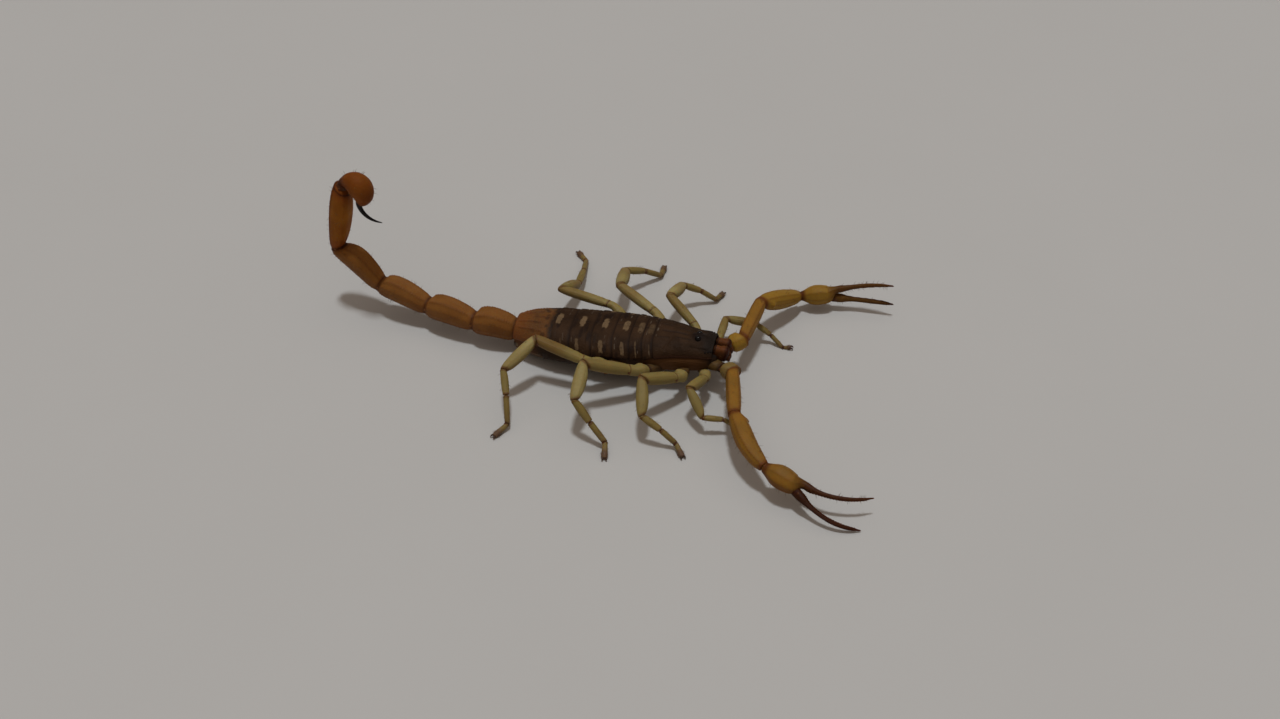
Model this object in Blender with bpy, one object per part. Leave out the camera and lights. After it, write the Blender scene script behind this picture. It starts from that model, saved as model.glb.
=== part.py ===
"""Thick-tailed scorpion in a walking stance, life size, about 62 mm along the body.

Row frame: +X towards the head, +Y towards the animal's left, +Z up, floor at z = 0.
The pose is worked out in a frame with its zero under the front of the carapace, and the
finished model is then moved so that its footprint is centred on the origin.
Every sub-part is one closed, faceted solid; joints leave a thin clear gap.
"""
import math

import bmesh
import bpy
from mathutils import Vector

MM = 0.001
UP = Vector((0, 0, 1))
JOINT_GAP = 0.25          # clear space left in every joint and between plates, mm
SOCKET_GAP = 0.10         # clear space round each eye, mm
MITRE_REACH = 0.35        # share of a segment's length over which its slanted end fades out
BOW_POWER = 1.35          # moves the fullest part of a bowed segment past its middle

# Trunk stations, mm: distance behind the front edge, half width, edge, crown and belly heights
TRUNK = (
    (0.0, 1.95, 4.25, 5.20, 2.90),
    (2.0, 2.20, 4.30, 5.60, 2.40),
    (4.5, 2.70, 4.30, 5.80, 2.10),
    (6.8, 3.20, 4.20, 5.75, 1.95),
    (9.3, 3.55, 4.05, 5.62, 1.80),
    (13.6, 3.65, 3.65, 5.30, 1.50),
    (18.7, 3.30, 3.20, 4.95, 1.20),
    (21.0, 2.62, 2.98, 4.65, 1.08),
    (22.9, 1.75, 2.70, 4.12, 0.95),
)
CARAPACE_LENGTH = 6.8
TERGITE_LENGTHS = (1.1, 1.4, 1.9, 2.4, 2.5, 2.6, 4.2)
PLATE_SKIRT = 0.20        # how far a back plate reaches below its own edge
CROWN_POWER = 2.4         # squareness of the back's cross-section
CROWN_STEPS = 12
UNDER_SHARE = 0.96        # width of a back plate's underside as a share of its full width
FRONT_TRIM = 0.8          # how much of its arch the carapace keeps at its front edge

EYE_RADIUS = 0.34
EYE_PLACE = (2.1, 0.42, 5.72)     # behind the front, beside the midline, height
TUBERCLE_RADII = (1.0, 0.62, 0.42)
TUBERCLE_DROP = 0.22      # how far the tubercle's centre lies below the eyes' centres

CHELICERA = {"start": (-0.25, 0.66, 4.15), "length": 1.75, "droop": -10, "width": 0.52, "height": 0.78,
             "swell": ((0, 0.85), (0.25, 1.0), (0.6, 0.95), (0.85, 0.7), (1.0, 0.42))}
PEDIPALP_COXA = {"start": (1.6, 0.75, 3.25), "end": (-0.75, 1.75, 3.40), "width": 0.55, "height": 0.42,
                 "swell": ((0, 0.7), (0.35, 1), (0.8, 1), (1, 0.85))}

# Metasoma: length, half width, half height, arch, waist share at front and rear, yaw, pitch
TAIL_ROOT = (23.0, 0.0, 2.45)
TAIL = (
    (4.9, 1.55, 1.62, 0.34, 0.76, 0.72, 180, 2),
    (6.1, 1.45, 1.48, 0.30, 0.72, 0.72, 168, 0),
    (6.3, 1.40, 1.38, 0.32, 0.72, 0.70, 169, 10),
    (6.5, 1.36, 1.33, 0.42, 0.70, 0.64, 169, 35),
    (8.7, 1.34, 1.30, 0.05, 0.60, 0.72, 169, 101),
)
TAIL_STATIONS = (0.0, 0.12, 0.35, 0.6, 0.82, 0.94, 1.0)
TAIL_CREST = 0.66         # where along its length a tail segment is fullest
TELSON_BEND = 150         # direction of the bulb's neck, in degrees of pitch

# Bulb: places ahead of and above the tail's end joint, with the radius there
VESICLE = (
    (0.50, 0.62, 0.42),
    (0.90, 1.02, 0.72),
    (1.45, 1.17, 1.10),
    (2.05, 0.80, 1.33),
    (2.27, 0.05, 1.36),
    (2.26, -0.62, 1.10),
    (2.12, -1.18, 0.76),
    (2.03, -1.55, 0.47),
)
ACULEUS = {"root": (1.98, -1.80), "length": 3.35, "bends": (-79, 1), "radii": (0.33, 0.22), "rings": 9}

# Pedipalp sizes, mm: length, half width, half height
PALP_ROOT = (-2.3, 2.9, 4.0)
PALP_SHOULDER = (-0.95, 2.0, 3.55)
PALP_TROCHANTER = (0.92, 0.85)
PALP_FEMUR = (6.65, 0.80, 0.76)
PALP_PATELLA = (7.25, 1.02, 0.98)
PALP_HAND = (4.2, 1.08, 1.22)
FINGER_LENGTHS = (7.0, 6.9)       # fixed and movable
FINGER_ROOT = (0.42, 0.46)
FINGER_TIP = 0.25
FINGER_SPREAD = 0.52      # how far each finger's root lies from the hand's centre line
FINGER_RINGS = 8
FINGER_TAPER = 0.8        # below 1 the finger thins sooner
PALP_STATIONS = (0.0, 0.12, 0.3, 0.5, 0.7, 0.88, 1.0)
HAND_SWELL = ((0.0, 0.42), (0.1, 0.57), (0.3, 0.89), (0.55, 1.03), (0.78, 0.91))
# Yaw and pitch of each part; a finger's third value is how far it bows outward, mm
PALP_POSE = {
    "right": {"reach": 1.03, "femur": (-76.5, 0.6), "patella": (-54, -6.6), "hand": (-18, -12),
              "fixed": (5.2, -1.5, 0.85), "movable": (-19, -17, 1.05), "patella_bow": 0.38},
    "left": {"reach": 0.95, "femur": (83.5, 2), "patella": (55, -20.5), "hand": (15, 4),
             "fixed": (4, 18, 0.45), "movable": (4, -5, 0.10), "patella_bow": 0.0},
}

# Legs: where the coxa starts and ends and where the femur starts, on the left side
LEG_ROOTS = {
    1: ((2.05, 0.60, 2.45), (0.90, 2.40, 2.75), (0.5, 3.4, 3.00)),
    2: ((3.10, 0.85, 2.40), (3.05, 3.35, 2.85), (3.35, 4.4, 3.28)),
    3: ((4.60, 1.00, 2.40), (7.00, 3.80, 3.05), (8.1, 5.05, 3.75)),
    4: ((6.10, 0.75, 2.35), (11.3, 4.05, 3.00), (13.2, 5.05, 3.85)),
}
# Lengths of femur, patella, tibia, basitarsus and tarsus, then the leg's thickness factor
LEG_SIZES = {
    1: (3.7, 3.4, 2.2, 2.0, 1.3, 0.74),
    2: (5.05, 4.2, 2.4, 2.3, 1.6, 0.92),
    3: (5.9, 4.6, 2.8, 2.7, 1.8, 1.00),
    4: (6.3, 4.9, 3.3, 3.1, 1.9, 0.92),
}
# Yaw and pitch of femur, patella, tibia, basitarsus; the tarsus has a yaw and meets the floor
LEG_POSE = {
    ("right", 1): ((-107, 17), (-46, -35), (13, -6), (1, -26), -16),
    ("right", 2): ((-132, 23), (-76, -26), (-8, -30), (-2, -42), -52),
    ("right", 3): ((-151, 22), (-88, -18), (-25, -43), (-21, -43), -78),
    ("right", 4): ((176, 15), (-123, -21), (-68, -13), (-72, -49), -120),
    ("left", 1): ((90, -3), (7, -6), (2, -37), (-21, -33), 4),
    ("left", 2): ((140, 13), (80, -18), (29, -31), (18, -38), 72),
    ("left", 3): ((148, 5), (97, -15), (46, -24), (43, -34), 91),
    ("left", 4): ((170, 2), (82, -28), (95, -11), (100, -15), 133),
}
COXA_SIZE = (0.50, 0.40)          # half width and half height of a coxa at thickness 1
TROCHANTER_SIZE = (0.72, 0.64)
FEMUR_SIZE = (0.68, 0.60)
PATELLA_SIZE = (0.74, 0.66)
TIBIA_SIZE = (0.46, 0.42)
BASITARSUS_SIZE = (0.34, 0.33)
TARSUS_SIZE = (0.29, 0.29)
FOOT_HEIGHT = 0.22        # height of the tarsus tip's centre; its underside is cut flat at the floor
LEG_SIDES = 8
TAIL_SIDES = 10
SHARP_ANGLE = 40          # edges steeper than this stay sharp, degrees

PECTINE = {"root": (9.0, 0.55, 1.05), "length": 4.0, "yaw": 128, "teeth": 17, "width": 0.95,
           "taper": 0.55, "notch": 0.7, "tooth": 0.28, "thickness": 0.5}
STERNUM = {"stations": ((3.4, 0.30), (4.2, 0.48), (5.2, 0.48)), "height": 2.35, "half_height": 0.35}
BELLY_START = 8.3
BELLY_STEPS = (9.6, 12.2, 14.8, 17.4, 19.6)
BELLY_LAST = 21.4
BELLY_SIDES = 8
BELLY_SQUARENESS = 0.6
BELLY_INSET = 0.2         # how much narrower the belly is than the back
BELLY_FRONT_WIDTH = 0.75
BELLY_WIDENING = 0.62     # growth of the belly's half width per mm between the rear coxae
BELLY_RIDGE = 0.10        # step between one belly plate and the next
BELLY_STEP_RUN = 0.05     # length over which that step rises

COLOURS = {
    "back_shell": ((0.045, 0.026, 0.016), 0.38),
    "rear_shell": ((0.30, 0.12, 0.035), 0.38),
    "belly_shell": ((0.22, 0.13, 0.06), 0.45),
    "tail_shell": ((0.30, 0.13, 0.035), 0.35),
    "sting_bulb": ((0.24, 0.075, 0.025), 0.35),
    "sting": ((0.012, 0.008, 0.006), 0.25),
    "palp_shell": ((0.36, 0.17, 0.035), 0.35),
    "finger_shell": ((0.11, 0.028, 0.012), 0.35),
    "leg_shell": ((0.38, 0.26, 0.07), 0.40),
    "jaw": ((0.17, 0.05, 0.02), 0.35),
    "eye": ((0.008, 0.008, 0.009), 0.08),
    "comb": ((0.48, 0.34, 0.16), 0.50),
}


def heading(yaw, pitch):
    """Unit vector for a compass angle from +X and an angle above the floor, in degrees."""
    yaw, pitch = math.radians(yaw), math.radians(pitch)
    return Vector((math.cos(yaw) * math.cos(pitch), math.sin(yaw) * math.cos(pitch), math.sin(pitch)))


def on_side(place, side):
    """A place given as (behind the front, out to the left, height), for either side."""
    return Vector((-place[0], place[1] if side == "left" else -place[1], place[2]))


def across(direction, hint):
    """The side and up vectors of a cross-section that faces along direction."""
    side = hint.cross(direction).normalized()
    return side, direction.cross(side).normalized()


def interpolate(stations, x, column):
    """Straight-line value of one column of a table at distance x."""
    for before, after in zip(stations, stations[1:]):
        if x <= after[0]:
            share = (x - before[0]) / (after[0] - before[0])
            return before[column] + share * (after[column] - before[column])
    return stations[-1][column]


def spindle(t, start, end, crest=0.5, fullness=0.7):
    """Thickness along a segment: start and end at the joints, 1 at the crest."""
    if t < crest:
        return start + (1 - start) * math.sin(math.pi / 2 * t / crest) ** fullness
    return end + (1 - end) * math.sin(math.pi / 2 * (1 - t) / (1 - crest)) ** fullness


def material_for(slot):
    """The slot's Principled material, made on first use."""
    if slot in bpy.data.materials:
        return bpy.data.materials[slot]
    colour, roughness = COLOURS[slot]
    material = bpy.data.materials.new(slot)
    material.use_nodes = True
    shader = material.node_tree.nodes["Principled BSDF"]
    shader.inputs["Base Color"].default_value = (*colour, 1.0)
    shader.inputs["Roughness"].default_value = roughness
    shader.inputs["Metallic"].default_value = 0.0
    return material


def add_object(name, mesh, slot):
    """Link a mesh as one named sub-part, smooth where it is round, under the animal's empty."""
    mesh.materials.append(material_for(slot))
    mesh.shade_smooth()
    mesh.set_sharp_from_angle(angle=math.radians(SHARP_ANGLE))
    thing = bpy.data.objects.new(name, mesh)
    bpy.context.scene.collection.objects.link(thing)
    thing.parent = bpy.data.objects["animal"]
    return thing


def loft(name, rings, slot):
    """Bridge rings of points, given in mm, into one closed solid with flat ends."""
    bm = bmesh.new()
    loops = []
    for ring in rings:
        verts = [bm.verts.new(Vector(point) * MM) for point in ring]
        loops.append([bm.edges.new((a, b)) for a, b in zip(verts, verts[1:] + verts[:1])])
    for near, far in zip(loops, loops[1:]):
        bmesh.ops.bridge_loops(bm, edges=near + far)
    bmesh.ops.contextual_create(bm, geom=loops[0])
    bmesh.ops.contextual_create(bm, geom=loops[-1])
    bmesh.ops.recalc_face_normals(bm, faces=bm.faces)
    mesh = bpy.data.meshes.new(name)
    bm.to_mesh(mesh)
    bm.free()
    return add_object(name, mesh, slot)


def outline(sides):
    """Points round a unit cross-section as (across, up)."""
    angles = [2 * math.pi * (i + 0.5) / sides for i in range(sides)]
    return [(math.sin(angle), math.cos(angle)) for angle in angles]


def swell_stations(shares, size, ends, crest):
    """Stations of a segment that is fullest at its crest: (share, half width, half height)."""
    swells = [(t, spindle(t, *ends, crest)) for t in shares]
    return [(t, size[0] * swell, size[1] * swell) for t, swell in swells]


def segment_rings(start, end, before, after, stations, shape, hint, bow=(0, 0, 0), floor=None):
    """Rings of one limb segment whose ends lie in the planes that halve its joints.

    stations holds (share of length, half width, half height); before and after are the
    directions of the neighbours, or None at a free end; bow moves the middle aside.
    """
    along = (end - start).normalized()
    length = (end - start).length
    side, up = across(along, hint)
    planes = []
    for place, neighbour, sign in ((start, before, 1), (end, after, -1)):
        normal = along if neighbour is None else (along + neighbour).normalized()
        clear = 0.0 if neighbour is None else sign * JOINT_GAP / 2
        planes.append((place + normal * clear, normal))
    rings = []
    for t, half_width, half_height in stations:
        centre = start + along * (t * length) + Vector(bow) * math.sin(math.pi * t ** BOW_POWER)
        fades = (max(0.0, 1 - t / MITRE_REACH), max(0.0, 1 - (1 - t) / MITRE_REACH))
        ring = []
        for x, y in shape:
            spot = centre + side * (x * half_width) + up * (y * half_height)
            slide = 0.0
            for (place, normal), fade, reach in zip(planes, fades, (t * length, (t - 1) * length)):
                shift = (place - (spot - along * reach)).dot(normal)
                slide += fade * shift / along.dot(normal)
            spot = spot + along * slide
            if floor is not None:
                spot.z = max(spot.z, floor)
            ring.append(spot)
        rings.append(ring)
    return rings


def chain(start, steps):
    """Joint places reached from start by (length, direction) steps."""
    places = [start]
    for length, direction in steps:
        places.append(places[-1] + direction * length)
    return places


def back_point(x, turn, lowest):
    """Point on the back at distance x behind the front; turn runs from 0 right to pi left."""
    half = interpolate(TRUNK, x, 1)
    edge = interpolate(TRUNK, x, 2)
    crown = interpolate(TRUNK, x, 3)
    sway = -math.cos(turn)
    lift = max(0.0, 1 - abs(sway) ** CROWN_POWER) ** 0.5
    return Vector((-x, half * sway, max(edge + (crown - edge) * lift, lowest)))


def back_plate(name, front, rear, slot, steps, front_trim=1.0):
    """A plate of the back from front to rear: arched above, flat below."""
    rings = []
    for i in range(steps + 1):
        x = front + (rear - front) * i / steps
        under = interpolate(TRUNK, x, 2) - PLATE_SKIRT
        ring = []
        for k in range(CROWN_STEPS + 1):
            spot = back_point(x, math.pi * k / CROWN_STEPS, under)
            if i == 0:
                spot.z = under + (spot.z - under) * front_trim
            ring.append(spot)
        half = interpolate(TRUNK, x, 1) * UNDER_SHARE
        ring.append(Vector((-x, half, under)))
        ring.append(Vector((-x, -half, under)))
        rings.append(ring)
    return loft(name, rings, slot)


def dome(name, centre, radii, slot, segments=12, rings=8):
    """An ellipsoid as a sub-part."""
    bm = bmesh.new()
    bmesh.ops.create_uvsphere(bm, u_segments=segments, v_segments=rings, radius=MM)
    for vert in bm.verts:
        vert.co = vert.co * Vector(radii) + centre * MM
    mesh = bpy.data.meshes.new(name)
    bm.to_mesh(mesh)
    bm.free()
    return add_object(name, mesh, slot)


def apply_cut(body, tool, operation):
    """Add an exact Boolean to body, with tool kept as a hidden guide."""
    tool.hide_render = True
    tool.display_type = "WIRE"
    cut = body.modifiers.new(tool.name, "BOOLEAN")
    cut.operation = operation
    cut.solver = "EXACT"
    cut.object = tool


def build_head():
    """Carapace with its eye tubercle and sockets, the eyes and the chelicerae."""
    rear = CARAPACE_LENGTH - JOINT_GAP / 2
    carapace = back_plate("carapace", 0.0, rear, "back_shell", 6, FRONT_TRIM)
    place = Vector((-EYE_PLACE[0], 0.0, EYE_PLACE[2] - TUBERCLE_DROP))
    apply_cut(carapace, dome("tubercle_guide", place, TUBERCLE_RADII, "back_shell"), "UNION")
    for side in ("left", "right"):
        centre = on_side(EYE_PLACE, side)
        socket = EYE_RADIUS + SOCKET_GAP
        apply_cut(carapace, dome(f"socket_guide_{side}", centre, (socket,) * 3, "back_shell"), "DIFFERENCE")
        dome(f"eye_{side}", centre, (EYE_RADIUS,) * 3, "eye", 10, 6)
        start = on_side(CHELICERA["start"], side)
        end = start + heading(0, CHELICERA["droop"]) * CHELICERA["length"]
        stations = [(t, CHELICERA["width"] * s, CHELICERA["height"] * s) for t, s in CHELICERA["swell"]]
        rings = segment_rings(start, end, None, None, stations, outline(LEG_SIDES), UP)
        loft(f"chelicera_{side}", rings, "jaw")


def build_back():
    """The seven back plates of the mesosoma."""
    front = CARAPACE_LENGTH
    for number, length in enumerate(TERGITE_LENGTHS, start=1):
        rear = front + length
        slot = "rear_shell" if number == len(TERGITE_LENGTHS) else "back_shell"
        steps = 5 if number == len(TERGITE_LENGTHS) else 2
        back_plate(f"tergite_{number}", front + JOINT_GAP / 2, rear - JOINT_GAP / 2, slot, steps)
        front = rear


def build_belly():
    """Belly plates as one stepped solid, narrow where it lies between the rear coxae."""
    rear = CARAPACE_LENGTH + sum(TERGITE_LENGTHS) - JOINT_GAP / 2
    places = [(BELLY_START, 0.0)]
    for step in BELLY_STEPS:
        places += [(step, 0.0), (step + BELLY_STEP_RUN, BELLY_RIDGE)]
    places += [(BELLY_LAST, 0.0), (rear, 0.0)]
    rings = []
    for x, ridge in places:
        roof = interpolate(TRUNK, x, 2) - PLATE_SKIRT - JOINT_GAP
        keel = interpolate(TRUNK, x, 4) + ridge
        spread = BELLY_FRONT_WIDTH + BELLY_WIDENING * (x - BELLY_START)
        half = min(interpolate(TRUNK, x, 1) - BELLY_INSET, spread)
        ring = []
        for k in range(BELLY_SIDES + 1):
            turn = math.pi * k / BELLY_SIDES
            depth = (roof - keel) * math.sin(turn) ** BELLY_SQUARENESS
            ring.append(Vector((-x, half * math.cos(turn), roof - depth)))
        rings.append(ring)
    loft("belly", rings, "belly_shell")


def build_pectines():
    """The two combs: a flat blade each, with a row of teeth along the rear edge."""
    count = PECTINE["teeth"]
    for side, sign in (("left", 1), ("right", -1)):
        root = on_side(PECTINE["root"], side)
        along = heading(sign * PECTINE["yaw"], 0) * PECTINE["length"]
        back = heading(sign * (PECTINE["yaw"] + 90), 0)
        front_edge, rear_edge = [], []
        for i in range(count + 1):
            t = i / count
            width = PECTINE["width"] * (1 - PECTINE["taper"] * t)
            front_edge.append(root + along * t)
            rear_edge.append(front_edge[-1] + back * (width * PECTINE["notch"]))
            if i < count:
                middle = root + along * (t + 0.5 / count)
                rear_edge.append(middle + back * (width + PECTINE["tooth"]))
        lower = front_edge[::6] + front_edge[-1:] + rear_edge[::-1]
        upper = [spot + UP * PECTINE["thickness"] for spot in lower]
        loft(f"pectine_{side}", [lower, upper], "comb")


def build_sternum():
    """Small plate between the coxae."""
    height, half_height = STERNUM["height"], STERNUM["half_height"]
    rings = []
    for x, half in STERNUM["stations"]:
        ring = [Vector((-x, half * sx, height + half_height * sz)) for sx, sz in outline(LEG_SIDES)]
        rings.append(ring)
    loft("sternum", rings, "belly_shell")


def build_tail():
    """Five segments, each fullest on its upper side towards the rear, then bulb and sting."""
    steps = [(segment[0], heading(*segment[-2:])) for segment in TAIL]
    places = chain(on_side(TAIL_ROOT, "left"), steps)
    shape = outline(TAIL_SIDES)
    last = len(TAIL) - 1
    for i, (_, half_width, half_height, arch, front, rear, yaw, _) in enumerate(TAIL):
        before = steps[i - 1][1] if i > 0 else Vector((-1, 0, 0))
        after = steps[i + 1][1] if i < last else heading(yaw, TELSON_BEND)
        dorsal = heading(yaw - 90, 0).cross(steps[i][1])
        stations = swell_stations(TAIL_STATIONS, (half_width, half_height), (front, rear), TAIL_CREST)
        rings = segment_rings(places[i], places[i + 1], before, after, stations, shape, dorsal, dorsal * arch)
        loft(f"metasoma_{i + 1}", rings, "tail_shell")
    build_telson(places[-1], TAIL[-1][-2])


def build_telson(joint, yaw):
    """Bulb hanging forward from the tail's end, and the sting that curves on from it."""
    ahead = heading(yaw + 180, 0)
    side = UP.cross(ahead)
    route = [joint + ahead * forward + UP * height for forward, height, _ in VESICLE]
    rings = [ring_at(route, i, radius, radius, side, outline(TAIL_SIDES))
             for i, (_, _, radius) in enumerate(VESICLE)]
    loft("vesicle", rings, "sting_bulb")
    forward, height = ACULEUS["root"]
    count = ACULEUS["rings"]
    step = ACULEUS["length"] / (count - 1)
    route = [joint + ahead * forward + UP * height]
    rings = []
    for i in range(1, count):
        share = (i - 0.5) / (count - 1)
        bend = math.radians(ACULEUS["bends"][0] + share * (ACULEUS["bends"][1] - ACULEUS["bends"][0]))
        route.append(route[-1] + (ahead * math.cos(bend) + UP * math.sin(bend)) * step)
    for i in range(count):
        radius = ACULEUS["radii"][0] + (ACULEUS["radii"][1] - ACULEUS["radii"][0]) * i / (count - 1)
        rings.append(ring_at(route, i, radius, radius, side, outline(LEG_SIDES)))
    loft("aculeus", rings, "sting")


def ring_at(route, i, half_width, half_height, side, shape):
    """One ring square to a route at its i-th place."""
    along = (route[min(i + 1, len(route) - 1)] - route[max(i - 1, 0)]).normalized()
    up = along.cross(side).normalized()
    return [route[i] + side * (x * half_width) + up * (y * half_height) for x, y in shape]


def build_palp(side):
    """Coxa, trochanter, femur, patella, hand with its fixed finger, and the movable finger."""
    pose = PALP_POSE[side]
    shape = outline(TAIL_SIDES)
    coxa_start = on_side(PEDIPALP_COXA["start"], side)
    coxa_end = on_side(PEDIPALP_COXA["end"], side)
    shoulder = on_side(PALP_SHOULDER, side)
    root = on_side(PALP_ROOT, side)
    femur, patella, hand = (heading(*pose[part]) for part in ("femur", "patella", "hand"))
    lengths = [size[0] * pose["reach"] for size in (PALP_FEMUR, PALP_PATELLA, PALP_HAND)]
    _, elbow, wrist, knuckle = chain(root, list(zip(lengths, (femur, patella, hand))))
    size = (PEDIPALP_COXA["width"], PEDIPALP_COXA["height"])
    stations = [(t, size[0] * s, size[1] * s) for t, s in PEDIPALP_COXA["swell"]]
    trochanter = (root - shoulder).normalized()
    rings = segment_rings(coxa_start, coxa_end, None, trochanter, stations, outline(LEG_SIDES), UP)
    loft(f"palp_coxa_{side}", rings, "leg_shell")
    outward = UP.cross(patella) if side == "left" else patella.cross(UP)
    parts = (
        ("trochanter", shoulder, root, trochanter, femur, PALP_TROCHANTER, (0.78, 0.86), 0.5, 0.0),
        ("femur", root, elbow, trochanter, patella, PALP_FEMUR[1:], (0.86, 0.86), 0.55, 0.0),
        ("patella", elbow, wrist, femur, hand, PALP_PATELLA[1:], (0.66, 0.62), 0.45, pose["patella_bow"]),
    )
    for name, start, end, before, after, size, ends, crest, bow in parts:
        stations = swell_stations(PALP_STATIONS, size, ends, crest)
        rings = segment_rings(start, end, before, after, stations, shape, UP, outward * bow)
        loft(f"palp_{name}_{side}", rings, "palp_shell")
    build_chela(side, wrist, knuckle, pose)


def build_chela(side, wrist, knuckle, pose):
    """Hand drawn out into the fixed finger, and the movable finger below it."""
    along = (knuckle - wrist).normalized()
    fixed, movable = heading(*pose["fixed"][:2]), heading(*pose["movable"][:2])
    opening = fixed - movable
    opening = (opening - along * opening.dot(along)).normalized()
    across_hand = opening.cross(along)
    outward = Vector((0, 1 if side == "left" else -1, 0))
    shape = outline(TAIL_SIDES)
    start = wrist + along * JOINT_GAP
    rings = []
    for t, swell in HAND_SWELL:
        centre = start + (knuckle - start) * t
        half_width, half_height = PALP_HAND[1] * swell, PALP_HAND[2] * swell
        rings.append([centre + across_hand * (x * half_width) + opening * (y * half_height) for x, y in shape])
    routes = []
    for direction, length, sign, bow in ((fixed, FINGER_LENGTHS[0], 1, pose["fixed"][2]),
                                         (movable, FINGER_LENGTHS[1], -1, pose["movable"][2])):
        finger_root = knuckle + opening * (sign * FINGER_SPREAD)
        tip = knuckle + direction * (length * pose["reach"])
        routes.append(finger_route(finger_root, tip, outward * bow))
    rings += finger_rings(routes[0], across_hand, shape)
    loft(f"palp_hand_{side}", rings, "palp_shell")
    loft(f"palp_finger_{side}", finger_rings(routes[1], across_hand, shape), "finger_shell")


def finger_route(root, tip, bow):
    """Centre line of a finger from its root to its tip, moved aside by bow in the middle."""
    shares = [i / (FINGER_RINGS - 1) for i in range(FINGER_RINGS)]
    return [root + (tip - root) * t + bow * (4 * t * (1 - t)) for t in shares]


def finger_rings(route, across_hand, shape):
    """Rings of a finger that tapers from root to tip."""
    rings = []
    for i in range(FINGER_RINGS):
        taper = (i / (FINGER_RINGS - 1)) ** FINGER_TAPER
        wide, high = (root + (FINGER_TIP - root) * taper for root in FINGER_ROOT)
        rings.append(ring_at(route, i, wide, high, across_hand, shape))
    return rings


def build_leg(side, number):
    """One leg: coxa to femur, patella, and tibia to tarsus resting flat on the floor."""
    *lengths, tarsus_length, thick = LEG_SIZES[number]
    *angles, tarsus_yaw = LEG_POSE[side, number]
    femur, patella, tibia, basitarsus = directions = [heading(*pair) for pair in angles]
    coxa_start, coxa_end, hip = (on_side(place, side) for place in LEG_ROOTS[number])
    _, knee, heel, ankle, wrist = chain(hip, list(zip(lengths, directions)))
    drop = math.degrees(math.asin((FOOT_HEIGHT - wrist.z) / tarsus_length))
    tarsus = heading(tarsus_yaw, drop)
    toe = wrist + tarsus * tarsus_length
    coxa, trochanter = (coxa_end - coxa_start).normalized(), (hip - coxa_end).normalized()

    def rings_for(start, end, before, after, size, ends, crest, shares, floor=None):
        stations = swell_stations(shares, (size[0] * thick, size[1] * thick), ends, crest)
        return segment_rings(start, end, before, after, stations, outline(LEG_SIDES), UP, floor=floor)

    thigh = rings_for(coxa_start, coxa_end, None, trochanter, COXA_SIZE, (0.7, 0.95), 0.7, (0.0, 0.6, 1.0))
    thigh += rings_for(coxa_end, hip, coxa, femur, TROCHANTER_SIZE, (0.8, 0.75), 0.5, (0.5, 1.0))
    thigh += rings_for(hip, knee, trochanter, patella, FEMUR_SIZE, (0.75, 0.80), 0.55,
                       (0.12, 0.35, 0.65, 0.9, 1.0))
    loft(f"leg_{side}_{number}_femur", thigh, "leg_shell")
    shin = rings_for(knee, heel, femur, tibia, PATELLA_SIZE, (0.68, 0.60), 0.5,
                     (0.0, 0.15, 0.4, 0.7, 0.9, 1.0))
    loft(f"leg_{side}_{number}_patella", shin, "leg_shell")
    foot = rings_for(heel, ankle, patella, basitarsus, TIBIA_SIZE, (0.85, 0.85), 0.5, (0.0, 0.4, 1.0))
    foot += rings_for(ankle, wrist, tibia, tarsus, BASITARSUS_SIZE, (0.95, 0.9), 0.3, (0.15, 0.6, 1.0))
    foot += rings_for(wrist, toe, basitarsus, None, TARSUS_SIZE, (0.95, 0.95), 0.5, (0.2, 0.6, 1.0), 0.0)
    loft(f"leg_{side}_{number}_tarsus", foot, "leg_shell")


def centre_footprint(animal):
    """Move the animal so that the middle of its box's footprint is at the origin."""
    bpy.context.view_layer.update()
    spots = [thing.matrix_world @ vert.co for thing in animal.children if not thing.hide_render
             for vert in thing.data.vertices]
    for axis in (0, 1):
        low, high = min(spot[axis] for spot in spots), max(spot[axis] for spot in spots)
        animal.location[axis] = -(low + high) / 2


for thing in list(bpy.data.objects):
    bpy.data.objects.remove(thing)
animal = bpy.data.objects.new("animal", None)
bpy.context.scene.collection.objects.link(animal)
build_head()
build_back()
build_belly()
build_pectines()
build_sternum()
build_tail()
for side in ("left", "right"):
    build_palp(side)
    for number in LEG_SIZES:
        build_leg(side, number)
centre_footprint(animal)
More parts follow.
